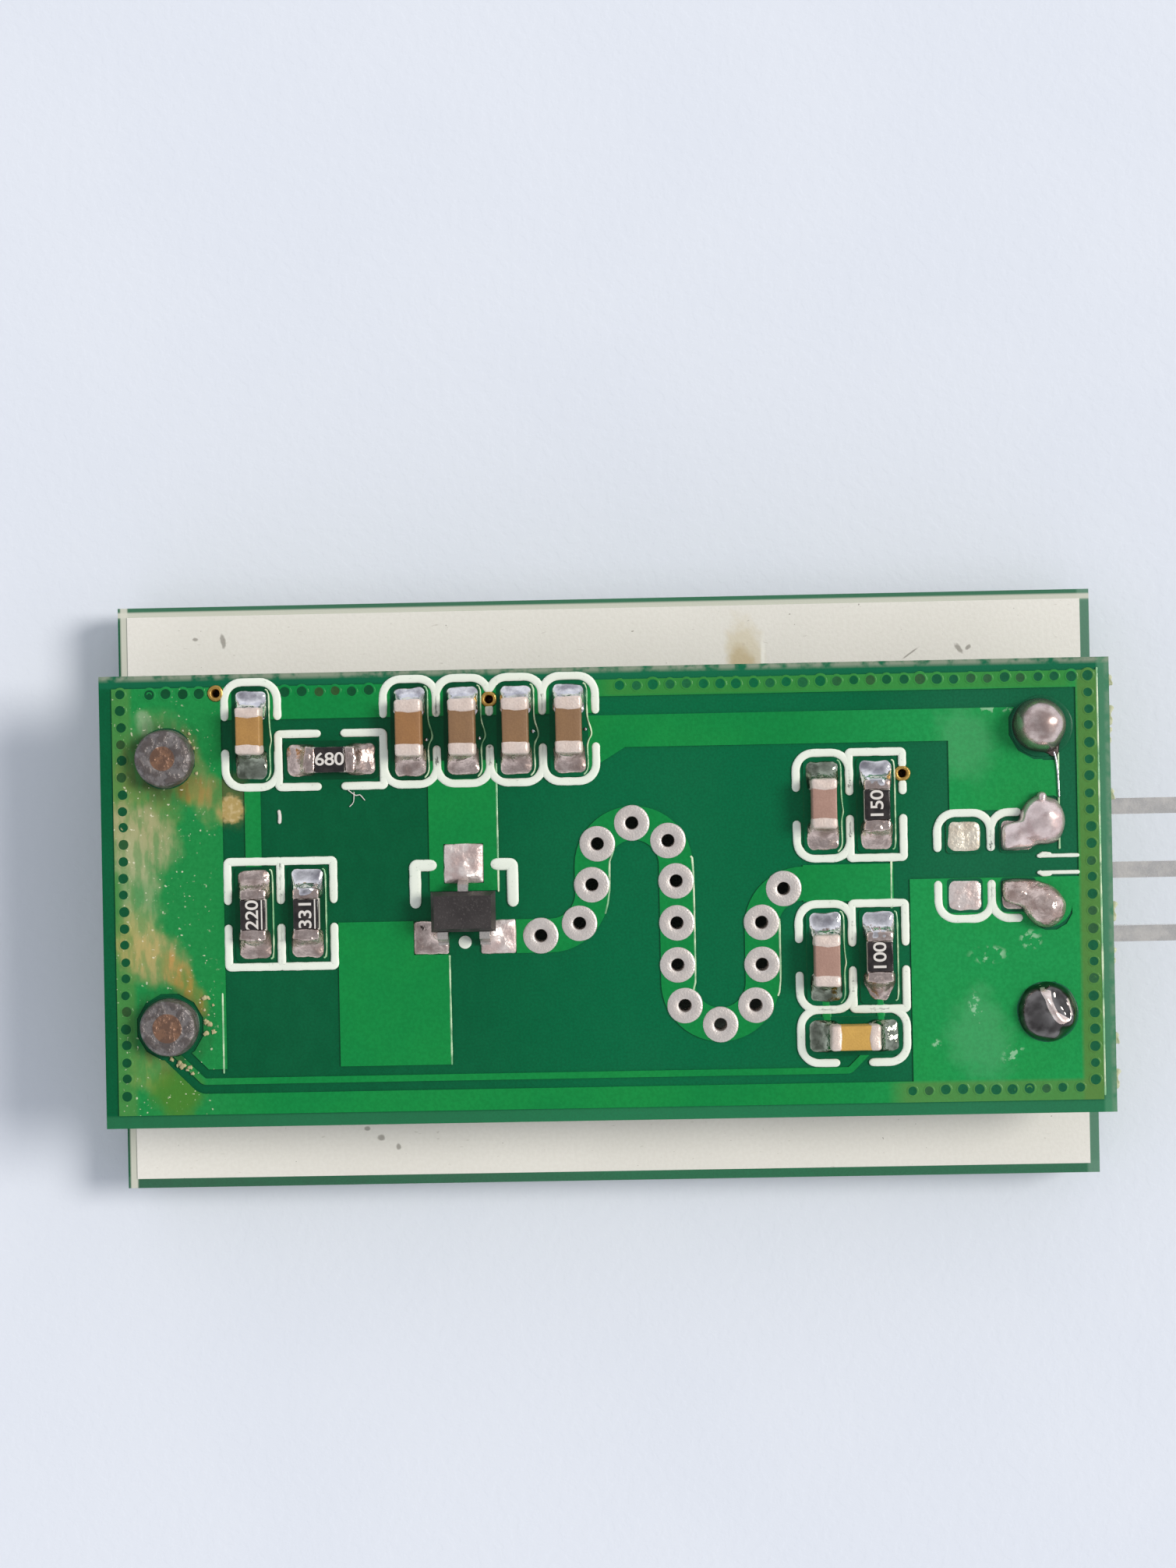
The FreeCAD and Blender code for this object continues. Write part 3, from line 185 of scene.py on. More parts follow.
# Solder mask on bare glass laminate: dark, glossy and a little uneven, with a faint weave.
# The sawn sides show the pale glass cloth. The radio board also has the marks of use.
def mask_on_laminate(name, top="#005b36", margin="#14694a", pale="#6aa080", half=7.05, marks=False):
    made = Finish(name, Specular_IOR_Level=0.16)
    clouds = made.patches(6, 0.35, 0.7)
    weave = made.patches(0.4, 0.4, 0.6, 2.0, (1, 0.6, 1))
    grain = made.patches(0.07, 0.3, 0.7, 2.0)
    right_margin = made.band(0, 15.32, BEYOND, 0.04)
    rear_margin = made.band(1, half - 0.38, BEYOND, 0.04)
    front_margin = made.band(1, -BEYOND, 0.38 - half, 0.04)
    turn = add(made.tree, "ShaderNodeNewGeometry", output="Normal")
    upward = add(made.tree, "ShaderNodeSeparateXYZ", {0: turn}, 2)
    downward = {"Value": upward, "From Min": 0.5, "From Max": -0.5}
    under = add(made.tree, "ShaderNodeMapRange", downward)
    level = add(made.tree, "ShaderNodeMath", {0: upward}, operation="ABSOLUTE")
    sawn = add(made.tree, "ShaderNodeMath", {0: level, 1: 0.5}, operation="LESS_THAN")
    plies = made.patches(0.1, 0.35, 0.65, 2.0, (0.12, 0.12, 1.4))
    torn = made.patches(0.18, 0.45, 0.65, 3.0)
    layers = [
        ("#006a41", 0.8, made.band(0, -2.6, 9.0, 3.0)),
        ("#00502f", 0.5, made.band(0, -BEYOND, -6.0, 4.0)),
        ("#1c6a4a", 0.6, made.band(0, 9.5, BEYOND, 1.5)),
        ("#0a6a42", 0.25, clouds),
        ("#0d7046", 0.10, weave),
        ("#033620", 0.22, grain),
        (margin, 0.6, rear_margin),
        (pale, 0.4, right_margin),
        (pale, 0.12, front_margin),
    ]
    if marks:
        amber = made.blot(-11.64, 2.84, 0.78, 0.86, 0, 0.2, 0.4, 0.2)
        crystals = made.product(amber, made.patches(0.15, 0.45, 0.65))
        fuzz = made.product(made.band(1, 6.9, BEYOND, 0.06), made.patches(0.35, 0.3, 0.6))
        frayed = made.product(made.band(0, 15.56, BEYOND, 0.05), made.patches(0.35, 0.3, 0.6))
        layers += [
            ("#6a6a3a", 0.5, made.blot(-11.85, 3.1, 1.5, 1.5, 0, 0.5, 0.5, 0.4)),
            ("#b39a62", 0.9, amber),
            ("#cfbb90", 0.55, crystals),
            ("#a4a595", 0.6, fuzz),
            ("#8fa08c", 0.35, frayed),
            ("#1f8a55", 0.16, front_margin),
        ]
    else:
        layers += [
            ("#d8d7ca", 0.85, made.band(1, half - 0.31, half - 0.14, 0.03)),
            ("#d8d7ca", 0.85, made.band(0, -15.62, -15.39, 0.03)),
        ]
    layers += [
        ("#0f7a3e", 0.35, under),
        ("#7d9460", 0.85, sawn),
        ("#a3ad7c", 0.35, made.product(sawn, plies)),
        ("#56744a", 0.3, made.product(sawn, torn)),
    ]
    return made.coat(top, layers, (clouds, 0.22, 0.36), grain, 0.0012)


# Solder mask over copper: brighter green. On the radio board it is browned along the rows of
# masked vias, stained by flux at the left end and scuffed at the right.
STAINS = (  # hex, strength, x, y, length, breadth, turn
    ("#7d8a4a", 0.60, -14.5, 3.2, 2.4, 3.2, 0),
    ("#a9a068", 0.65, -12.75, 3.95, 0.8, 2.6, 15),
    ("#a5823c", 0.75, -12.8, 3.45, 1.2, 0.8, -30),
    ("#b0a880", 0.75, -14.45, 1.9, 1.9, 2.3, 25),
    ("#a3ab82", 0.50, -14.55, 0.2, 1.2, 3.6, 8),
    ("#bda271", 0.65, -14.15, -1.75, 1.9, 1.5, -20),
    ("#c08a48", 0.62, -13.4, -2.25, 1.3, 0.7, -55),
    ("#b7a364", 0.55, -14.6, -1.2, 1.4, 1.8, 0),
    ("#b88b40", 0.55, -12.85, -3.05, 0.6, 1.1, 20),
    ("#8f9c52", 0.55, -14.2, -5.2, 1.3, 1.3, 0),
    ("#4f7a22", 0.70, -13.5, -6.0, 1.5, 1.5, 0),
    ("#7f9a63", 0.40, -13.9, 5.4, 1.6, 1.1, 0),
    ("#a9c3a0", 0.45, -14.3, 5.55, 0.5, 0.7, 15),
    ("#9ccfae", 0.10, 11.5, -4.6, 1.8, 2.6, 10),
    ("#a3cfb0", 0.09, 11.2, 4.4, 1.8, 2.2, 10),
    # The next two spots, dark olive and centred on the left posts, darken the mask round their
    # joints.
    ("#2c3d22", 0.65, -13.7, 4.35, 2.3, 2.35, 0),
    ("#2c3d22", 0.6, -13.66, -3.98, 2.2, 2.3, 0),
    ("#8f7f4c", 0.55, -12.3, 3.4, 1.1, 1.0, -35),
    ("#b39a62", 0.9, -11.66, 2.84, 0.8, 0.86, 0),
)
SCUFFED_PLACES = (  # x, y, length, breadth, turn
    (11.85, -2.1, 1.0, 0.5, 0),
    (13.1, -1.65, 0.6, 0.5, 0),
    (11.4, -3.75, 0.35, 1.0, 20),
    (10.15, -4.85, 0.25, 0.25, 0),
    (12.55, -5.2, 0.7, 0.5, 40),
    (12.3, 5.6, 1.6, 0.4, 0),
)


def mask_on_copper(name, marks):
    made = Finish(name, Specular_IOR_Level=0.16)
    clouds = made.patches(3.5, 0.35, 0.7)
    grain = made.patches(0.1, 0.3, 0.7, 2.0)
    even = [("#14903f", 0.4, clouds), ("#04622c", 0.25, grain)]
    if not marks:
        return made.coat("#0f8340", even, (clouds, 0.22, 0.4), grain, 0.003)
    streaks = made.patches(0.35, 0.4, 0.62, 5.0, (1.6, 0.45, 1))
    rear_vias = made.product(made.band(1, 6.14, 6.8, 0.06), made.band(0, 0, 14.6, 0.3))
    front_vias = made.product(made.band(1, -6.7, -6.02, 0.06), made.band(0, 8.9, 15.4, 0.3))
    layers = [
        ("#229a52", 0.75, made.band(0, 8.0, BEYOND, 2.0)),
        ("#278a48", 0.6, made.band(0, -BEYOND, -11.5, 1.0)),
        *even,
        ("#5c8440", 0.45, made.band(0, -15.4, -14.72, 0.08)),
        ("#5f7a38", 0.65, made.band(0, 14.68, 15.4, 0.06)),
        ("#3f8438", 0.65, rear_vias),
        ("#5b8140", 0.6, front_vias),
    ]
    streaked = add(made.tree, "ShaderNodeMapRange", {"Value": streaks, "To Min": 0.45})
    for tone, strength, x, y, length, breadth, turn in STAINS:
        spot = made.blot(x, y, length, breadth, turn)
        if y > -6 and x < 0:
            spot = made.product(spot, streaked)
        layers.append((tone, strength, spot))
    flakes = made.patches(0.2, 0.52, 0.6, 3.0)
    for scuffed in SCUFFED_PLACES:
        layers.append(("#b5dcba", 0.5, made.product(flakes, made.blot(*scuffed))))
    crumbs = made.patches(0.11, 0.68, 0.74, 1.0)
    residue = made.product(made.band(0, -BEYOND, -12.2, 0.3), streaks)
    layers.append(("#e6e2c8", 0.7, made.product(crumbs, residue)))
    relief = add(made.tree, "ShaderNodeMath", {0: grain, 1: residue}, operation="ADD")
    return made.coat("#0f8340", layers, (clouds, 0.22, 0.4), relief, 0.003)


# Solder: metal that mirrors the room unevenly; cooled slowly it turns matt, grainy and pinkish.
# A foot sets how far a near-black brown darkening fades up from its lower edge.
def solder(name, bright, dull, smooth, coarse, dimple=0.3, depth=0.008, metallic=1.0, foot=0.0):
    made = Finish(name, Metallic=metallic)
    clouds = made.patches(dimple, 0.3, 0.7, 2.0)
    films = made.patches(0.5, 0.42, 0.66)
    grain = made.patches(0.05, 0.3, 0.7, 2.0)
    layers = [(dull, 0.75, films), (dull, 0.3, clouds), ("#5a5054", 0.12, grain)]
    if foot:
        layers.append(("#1d1513", 0.85, made.band(2, 0, FACE + foot, foot)))
    return made.coat(bright, layers, (films, smooth, coarse), clouds, depth)


# Flux and copper oxide burnt on to solder: brown and almost matt.
def burnt_solder(name, base, brown, dark):
    made = Finish(name, Metallic=0.55)
    clouds = made.patches(0.3, 0.4, 0.6, 4.0)
    grain = made.patches(0.09, 0.35, 0.65, 3.0)
    layers = [(brown, 0.8, clouds), (dark, 0.3, grain)]
    return made.coat(base, layers, (grain, 0.34, 0.55), clouds, 0.03)


# Tin over copper: soft grey with a warm tinge and very fine grain.
def tinned_copper(name, tone, dark, smooth=0.38, coarse=0.55, metallic=0.85, depth=0.004):
    made = Finish(name, Metallic=metallic)
    clouds = made.patches(0.5, 0.35, 0.65)
    grain = made.patches(0.06, 0.3, 0.7, 2.0)
    layers = [(dark, 0.35, clouds), (dark, 0.3, grain)]
    return made.coat(tone, layers, (clouds, smooth, coarse), grain, depth)


# Printed ink: flat and slightly rough, thin in places so that the green shows through its pits.
def printed_ink(name, tone, thin):
    made = Finish(name, Specular_IOR_Level=0.35)
    pits = made.patches(0.09, 0.62, 0.8, 3.0)
    clouds = made.patches(0.9, 0.35, 0.7)
    layers = [(thin, 0.5, pits), (thin, 0.12, clouds)]
    return made.coat(tone, layers, (clouds, 0.5, 0.7), pits, 0.006)


# White screen print on the antenna board: warm and flat, with specks of dirt, a few scuffs and one
# old glue mark. Little light reaches it under the radio board, so it is darker there.
SCUFFS = (  # x, y, length, breadth, turn, edge, ragged, size
    (11.5, 7.55, 0.42, 0.14, -50, 0.4, 0.9, 0.15),
    (11.8, 7.6, 0.22, 0.1, 50, 0.4, 0.9, 0.15),
    (9.95, 7.45, 0.6, 0.05, 35, 0.4, 0.7, 0.2),
    (-12.3, 8.3, 0.16, 0.45, 8, 0.3, 0.6, 0.2),
    (-13.2, 8.35, 0.2, 0.12, 0, 0.3, 0.6, 0.2),
    (-7.9, -7.6, 0.2, 0.14, 0, 0.3, 0.6, 0.2),
    (-7.45, -7.9, 0.22, 0.2, 0, 0.3, 0.6, 0.2),
    (-6.9, -8.2, 0.14, 0.2, 0, 0.3, 0.6, 0.2),
)


def white_face():
    made = Finish("white_screen_print", Specular_IOR_Level=0.3)
    grain = made.patches(0.12, 0.3, 0.7, 2.0)
    rim = made.product(made.band(0, 5.12, 5.24, 0.03), made.band(1, 6.9, 7.9, 0.3))
    covered = made.product(made.band(0, -14.6, 14.6, 1.0), made.band(1, -5.6, 5.6, 1.6))
    layers = [
        ("#e2dfd8", 0.5, made.patches(5, 0.3, 0.7)),
        ("#d6d2c9", 0.2, grain),
        ("#d3c6a6", 0.6, made.blot(4.62, 7.35, 1.15, 2.5, 6, 0.35, 0.5, 0.4)),
        ("#b59c62", 0.5, made.blot(4.5, 7.2, 0.75, 1.1, 10, 0.4, 0.6, 0.3)),
        ("#f6f4ec", 0.8, rim),
        ("#8b8378", 0.7, made.patches(0.15, 0.74, 0.78, 2.0)),
        ("#aaa396", 0.35, made.patches(0.3, 0.7, 0.75, 4.0, (1, 3, 1))),
        *(("#6a6258", 0.6, made.blot(*scuff)) for scuff in SCUFFS),
        ("#22211c", 0.95, covered),
    ]
    return made.coat("#ebe8e1", layers, (grain, 0.55, 0.75), grain, 0.002)


# Fired ceramic of a chip capacitor: fine matt grain, a little uneven in colour.
def fired_ceramic(name, tone, dark):
    made = Finish(name, Specular_IOR_Level=0.4)
    clouds = made.patches(0.5, 0.3, 0.7)
    grain = made.patches(0.06, 0.3, 0.7, 2.0)
    layers = [(dark, 0.3, clouds), (dark, 0.25, grain)]
    return made.coat(tone, layers, (clouds, 0.38, 0.55), grain, 0.003)


# Moulded epoxy with silica filler: dark, matt and finely grained, with a little dust.
def moulded_epoxy():
    made = Finish("moulded_epoxy", Specular_IOR_Level=0.45)
    clouds = made.patches(0.9, 0.35, 0.7)
    grain = made.patches(0.07, 0.5, 0.75, 2.0)
    dust = made.patches(0.12, 0.76, 0.8, 1.0)
    layers = [("#4a4443", 0.25, clouds), ("#4a4443", 0.45, grain), ("#8b8580", 0.5, dust)]
    return made.coat("#2b2626", layers, (clouds, 0.45, 0.62), grain, 0.006)


# Fused glass overcoat of a chip resistor: black-brown, shiny and a little uneven.
def glass_overcoat():
    made = Finish("glass_overcoat", Specular_IOR_Level=0.5)
    clouds = made.patches(0.3, 0.35, 0.7)
    return made.coat("#1b1718", [("#3a3130", 0.5, clouds)], (clouds, 0.18, 0.35), clouds, 0.006)


# Edge of a step in the mask: a glossy fillet with gaps, whose pale colour is a painted highlight.
def painted_glint_finish():
    made = Finish("painted_glint_on_mask_step", Specular_IOR_Level=0.6)
    clouds = made.patches(0.7, 0.35, 0.65)
    layers = [("#e2eccb", 0.8, clouds), ("#2a7a48", 0.6, made.patches(0.4, 0.5, 0.7))]
    return made.coat("#86bd8c", layers, (clouds, 0.15, 0.3), clouds, 0.004)


# Paper under the module: pale, matt and plain.
def pale_paper():
    made = Finish("pale_matt_paper", Specular_IOR_Level=0.2)
    layers = [("#d8deea", 0.2, made.patches(9))]
    return made.coat("#dfe4ee", layers, (made.patches(2), 0.7, 0.85), made.patches(0.4), 0.003)


def dark_laminate(name, tone):
    """Mask of one dark tone, for the small sunk places of the radio board."""
    return mask_on_laminate(name, tone, tone, marks=True)


laminate_mask = mask_on_laminate("solder_mask_on_laminate", marks=True)
antenna_mask = mask_on_laminate(
    "solder_mask_on_antenna_laminate", "#2c6148", "#4f7f66", "#86a896", 9.4
)
copper_mask = mask_on_copper("solder_mask_on_copper", True)
patch_mask = mask_on_copper("solder_mask_on_antenna_patches", False)
# Pad clearings: mask over bare laminate, darker than elsewhere as painted shade round the pads; the
# same tone rings the posts as flux.
dark_mask = dark_laminate("clearing_and_flux_mask_with_painted_shade", "#00321b")
pit_mask = dark_laminate("solder_mask_in_via_pits", "#144020")
browned_mask = dark_laminate("browned_mask", "#4a4a1c")
bright_solder = solder("bright_solder", "#f4f2f5", "#8f8c97", 0.06, 0.22)
grey_solder = solder("grey_solder", "#e0cdc5", "#8f7b75", 0.16, 0.42, 0.2, 0.012)
frosted_solder = solder("frosted_solder", "#f3e7e2", "#c2a9a4", 0.3, 0.5, 0.16, 0.012, 0.6)
cream_solder = solder("cream_frosted_solder", "#efe7d6", "#bcae9b", 0.4, 0.6, 0.12, 0.014, 0.5)
# Thin glossy solder whose green tint is a painted reflection of the board round it.
painted_green_solder = solder("glossy_solder_with_painted_green_reflection", "#9fa697", "#4e5548", 0.06, 0.25, 0.25, 0.015)
dark_solder = solder("dark_glossy_solder", "#7c7978", "#3a3736", 0.04, 0.14, 0.6, 0.006)
# Pale solder for the painted highlights on the front right joint's crest.
crest_highlight_solder = solder("painted_highlight_solder_on_crest", "#f5e9e4", "#c8b2ac", 0.15, 0.3, 0.3, 0.006, 0.7)
bead_solder = solder("pinkish_solder", "#dac9c4", "#9c8681", 0.2, 0.34, 0.5, 0.006, 0.85, 0.4)
drop_solder = solder(
    "pale_pinkish_solder", "#f1e0de", "#bfa5a3", 0.2, 0.36, 0.4, 0.008, 0.7, 0.14
)
brown_solder = solder(
    "flux_browned_solder", "#e6d2ca", "#957b72", 0.14, 0.34, 0.22, 0.02, 0.8, 0.14
)
burnt_joint = burnt_solder("burnt_solder", "#86807f", "#5f5653", "#3c3838")
wire_face = burnt_solder("oxidised_wire_end", "#8f6b55", "#705547", "#54433b")
tin_ring = tinned_copper("tinned_copper_ring", "#ddd5d0", "#b3aaa5", 0.34, 0.5, 0.55)
end_cap = tinned_copper("tin_plated_end_cap", "#ead9cf", "#bba99f", 0.36, 0.55, 0.35)
gold_ring = tinned_copper("oxidised_copper_ring", "#cda75c", "#7d5f2c", 0.3, 0.5)
# Near-black finish of the disc in each open via's bore, as painted shade.
bore_shade = tinned_copper("painted_shade_in_via_bore", "#4a403a", "#1c1815", 0.4, 0.6)
tinned_wire = tinned_copper("tinned_copper_wire", "#c9bfb4", "#8d8075", 0.25, 0.45)
plated_lead = tinned_copper("tin_plated_lead", "#d5cfcb", "#9b9390", 0.25, 0.42)
pin_plating = tinned_copper("tin_plated_pin", "#efece8", "#d2cec9", 0.24, 0.34, 1.0, 0.0008)
white_ink = printed_ink("white_legend_ink", "#e6ece0", "#a7bda8")
digit_ink = printed_ink("pale_marking_ink", "#d9d4ce", "#8f8681")
epoxy = moulded_epoxy()
overcoat = glass_overcoat()
alumina = fired_ceramic("alumina_substrate", "#d8d2ca", "#a9a198")
ceramics = {
    "capacitor_1": fired_ceramic("orange_tan_ceramic", "#b0854a", "#8a6434"),
    "capacitor_2": fired_ceramic("orange_brown_ceramic", "#9b7046", "#7a5434"),
    "capacitor_3": fired_ceramic("taupe_brown_ceramic", "#8d6c4c", "#6f5138"),
    "capacitor_6": fired_ceramic("pinkish_brown_ceramic", "#ab887a", "#8b695c"),
    "capacitor_8": fired_ceramic("yellow_tan_ceramic", "#d0a553", "#a8803a"),
}
for twin, model in (("4", "3"), ("5", "3"), ("7", "6")):
    ceramics[f"capacitor_{twin}"] = ceramics[f"capacitor_{model}"]
crusted_flux = fired_ceramic("crusted_flux", "#bdb58c", "#8a8152")
glass_fibre = fired_ceramic("torn_glass_cloth", "#c9cbae", "#9fa684")


# Forms


class Form:
    """Points in board millimetres, and faces with the number of their finish."""

    def __init__(self):
        self.points = []
        self.faces = []
        self.finishes = []

    def take(self, points, faces, numbers=0, where=None):
        """Numbers are one finish for all the faces, or a list of one for each."""
        first = len(self.points)
        self.points += [where @ Vector(p) if where else Vector(p) for p in points]
        self.faces += [[first + corner for corner in face] for face in faces]
        self.finishes += numbers if isinstance(numbers, list) else [numbers] * len(faces)


def standing(x, y, lies=False):
    """Place of a part on the board, turned a quarter unless it lies along x."""
    turn = Matrix.Rotation(0 if lies else math.pi / 2, 4, "Z")
    return Matrix.Translation((x, y, 0)) @ turn


def shake(spot, size, amount, seed=0.0):
    """Smooth random number for a place, of about that pattern size."""
    return amount * noise.noise(Vector(spot) / size + Vector((seed, 1.7 * seed, 0)))


def shaken(rim, amount, seed, other_seed):
    """A rim whose points are moved a little."""
    return [
        (u + shake((u, v, 0), 0.3, amount, seed), v + shake((v, u, 0), 0.3, amount, other_seed))
        for u, v in rim
    ]


def rounded(share, power):
    """Round rise from 0 at a rim, where the share is 1, to 1 further in."""
    return (1 - share**power) ** 0.5 if share < 1 else 0.0


def over_face(*profile):
    """Points of (radius, level), with the levels taken from the board's face."""
    return [(radius, FACE + level) for radius, level in profile]


def circle(middle, sides, reach):
    """Points round a middle, where reach gives the radius for the cosine and sine of an angle."""
    points = []
    for side in range(sides):
        u, v = math.cos(math.tau * side / sides), math.sin(math.tau * side / sides)
        radius = reach(u, v)
        points.append((middle[0] + radius * u, middle[1] + radius * v))
    return points


def wobbly(x, y, radius, level, sides, size, amount, seed):
    """Points round a middle whose radius varies a little."""
    return circle(
        (x, y), sides, lambda u, v: radius * (1 + shake((u, v, level), size, amount, seed))
    )


def skin(rows, count, closed=False):
    """Faces between rows of points that run round; closed joins the last row to the first."""
    faces = []
    for row in range(rows if closed else rows - 1):
        low, high = row * count, (row + 1) % rows * count
        for side in range(count):
            beside = (side + 1) % count
            faces.append((low + side, low + beside, high + beside, high + side))
    return faces


def ends(rows, count):
    """Faces that close the first and the last row."""
    return [tuple(range(count))[::-1], tuple(range((rows - 1) * count, rows * count))]


def turned(form, x, y, profile, sides=40, number=0, wobble=0.0, seed=0.0, core=None):
    """Round form turned from (radius, level) points; core is a radius and the finish inside it."""
    core_radius, core_number = core or (0.0, number)
    points, numbers = [], []
    for radius, level in profile:
        for spot in wobbly(x, y, radius, level, sides, 0.7, wobble, seed):
            rise = radius * shake((*spot, 0), 0.5, wobble, seed + 5)
            points.append((*spot, max(level + rise, 0.0)))
    for (radius, _), (next_radius, _) in zip(profile, profile[1:]):
        covered = max(radius, next_radius) <= core_radius
        numbers += [core_number if covered else number] * sides
    faces = skin(len(profile), sides) + ends(len(profile), sides)
    form.take(points, faces, [*numbers, number, core_number])


def collar(form, x, y, loop, sides=32, wobble=0.0, seed=0.0):
    """Ring whose closed section is a loop of (radius, level) points."""
    points = []
    for radius, level in loop:
        points += [(*spot, level) for spot in wobbly(x, y, radius, 0, sides, 0.8, wobble, seed)]
    form.take(points, skin(len(loop), sides, True))


def heap(form, rim, height, rings=8, number=0, where=None, centre=None):
    """Closed mound in a rim of (x, y) points; height gives the level for x, y and ring share."""
    count = len(rim)
    middle = centre or (sum(x for x, _ in rim) / count, sum(y for _, y in rim) / count)
    points = []
    for ring in range(rings):
        share = 1 - (ring / rings) ** 1.3
        for x, y in rim:
            spot = (middle[0] + (x - middle[0]) * share, middle[1] + (y - middle[1]) * share)
            points.append((*spot, height(*spot, share)))
    points.append((*middle, height(*middle, 0.0)))
    last, peak, base = (rings - 1) * count, rings * count, rings * count + 1
    points += [(x, y, FACE - 0.02) for x, y in rim]
    pairs = [(side, (side + 1) % count) for side in range(count)]
    faces = skin(rings, count)
    faces += [(last + here, last + beside, peak) for here, beside in pairs]
    faces += [(base + here, base + beside, beside, here) for here, beside in pairs]
    faces.append(tuple(range(base, base + count))[::-1])
    form.take(points, faces, number, where)


def rounded_rim(length, breadth, corner, x=0.0, y=0.0, steps=5, edge_steps=6):
    """Points round a rectangle with round corners, spaced closely enough to wobble."""
    rim = []
    along, across = length / 2 - corner, breadth / 2 - corner
    for side_x, side_y, first in ((1, 1, 0), (-1, 1, 90), (-1, -1, 180), (1, -1, 270)):
        for step in range(steps + 1):
            angle = math.radians(first + 90 * step / steps)
            reach = (corner * math.cos(angle), corner * math.sin(angle))
            rim.append((x + side_x * along + reach[0], y + side_y * across + reach[1]))
    filled = []
    for here, following in zip(rim, rim[1:] + rim[:1]):
        gap = math.dist(here, following)
        parts = max(1, round(gap / max(length, breadth) * edge_steps))
        for part in range(parts):
            filled.append(tuple(a + (b - a) * part / parts for a, b in zip(here, following)))
    return filled


def block(form, size, edge, base, number=0, where=None, at=(0.0, 0.0), steps=3, bumps=0.0):
    """Block with rounded edges and a slightly uneven skin that stands on a level."""
    made = bmesh.new()
    bmesh.ops.create_cube(made, size=1.0, matrix=Matrix.Diagonal((*size, 1.0)))
    bmesh.ops.bevel(
        made,
        geom=made.edges[:],
        offset=edge,
        segments=steps,
        profile=0.5,
        affect="EDGES",
        clamp_overlap=True,
    )
    long_edges = [side for side in made.edges if side.calc_length() > 0.25]
    bmesh.ops.subdivide_edges(made, edges=long_edges, cuts=3, use_grid_fill=True)
    lift = Vector((at[0], at[1], base + size[2] / 2))
    made.verts.ensure_lookup_table()
    made.normal_update()
    points = []
    for corner in made.verts:
        spot = corner.co + lift
        points.append(spot + corner.normal * shake(spot, 0.22, bumps, size[0]))
    faces = [[corner.index for corner in face.verts] for face in made.faces]
    made.free()
    form.take(points, faces, number, where)


def smooth_line(points, spacing=0.07):
    """Points closely spaced along a smooth curve through the given points."""
    padded = [points[0], *points, points[-1]]
    line = []
    for before, start, end, after in zip(padded, padded[1:], padded[2:], padded[3:]):
        steps = max(1, round(math.dist(start, end) / spacing))
        for step in range(steps):
            t = step / steps
            spot = []
            for a, b, c, d in zip(before, start, end, after):
                curved = (2 * a - 5 * b + 4 * c - d) * t * t + (3 * b - a - 3 * c + d) * t * t * t
                spot.append(0.5 * (2 * b + (c - a) * t + curved))
            line.append(tuple(spot))
    line.append(tuple(points[-1]))
    return line


THREAD_SECTION = (
    (-1.0, 0.0), (-0.86, 0.7), (-0.45, 0.97), (0.0, 1.0), (0.45, 0.97), (0.86, 0.7), (1.0, 0.0)
)


def thread(form, line, width, height, level, soft=0.0, seed=0.0, number=0):
    """Low round-topped line along closely spaced points, with round ends."""
    reach = width / 2
    stations = []
    for index, spot in enumerate(line):
        before, after = line[max(index - 1, 0)], line[min(index + 1, len(line) - 1)]
        onward = Vector((after[0] - before[0], after[1] - before[1])).normalized()
        stations.append((Vector(spot), onward, 1.0))
    caps = []
    for (spot, onward, _), sign in ((stations[0], -1), (stations[-1], 1)):
        past = (0.5, 0.85, 0.99)
        caps.append([(spot + onward * sign * reach * s, onward, rounded(s, 2)) for s in past])
    stations = caps[0][::-1] + stations + caps[1]
    points = []
    for spot, onward, share in stations:
        aside = Vector((-onward.y, onward.x))
        local = reach * share * (1 + shake((spot.x, spot.y, 0), 0.25, soft, seed))
        for offset, lift in THREAD_SECTION:
            place = spot + aside * offset * local
            points.append((*place, level + height * lift * min(1.0, share + 0.2)))
        for offset in (1.0, -1.0):
            points.append((*(spot + aside * offset * local), level - 0.01))
    count = len(THREAD_SECTION) + 2
    form.take(points, skin(len(stations), count) + ends(len(stations), count), number)


def near(spot, line):
    """Distance from a spot to a line of points."""
    best = math.inf
    for (ax, ay), (bx, by) in zip(line, line[1:]):
        length = (bx - ax) ** 2 + (by - ay) ** 2
        along = ((spot[0] - ax) * (bx - ax) + (spot[1] - ay) * (by - ay)) / length
        along = min(max(along, 0.0), 1.0)
        best = min(best, math.dist(spot, (ax + (bx - ax) * along, ay + (by - ay) * along)))
    return best


def piece(name, form, finishes, replaces=(), crease=60):
    """Make the form an object of the module, with its finishes."""
    mesh = bpy.data.meshes.new(name)
    places = [(p.x * MM + MIDDLE_X, p.y * MM, p.z * MM) for p in form.points]
    mesh.from_pydata(places, [], form.faces)
    mesh.polygons.foreach_set("material_index", form.finishes)
    for material in finishes:
        mesh.materials.append(material)
    shell = bmesh.new()
    shell.from_mesh(mesh)
    bmesh.ops.recalc_face_normals(shell, faces=shell.faces)
    shell.to_mesh(mesh)
    shell.free()
    mesh.polygons.foreach_set("use_smooth", [True] * len(mesh.polygons))
    mesh.set_sharp_from_angle(angle=math.radians(crease))
    made = bpy.data.objects.new(name, mesh)
    scene.collection.objects.link(made)
    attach(made, "root")
    if replaces:
        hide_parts(*replaces)


# Carried-over CAD nodes: the word in their names, their finish, and how far and in how many steps
# their edges are softened

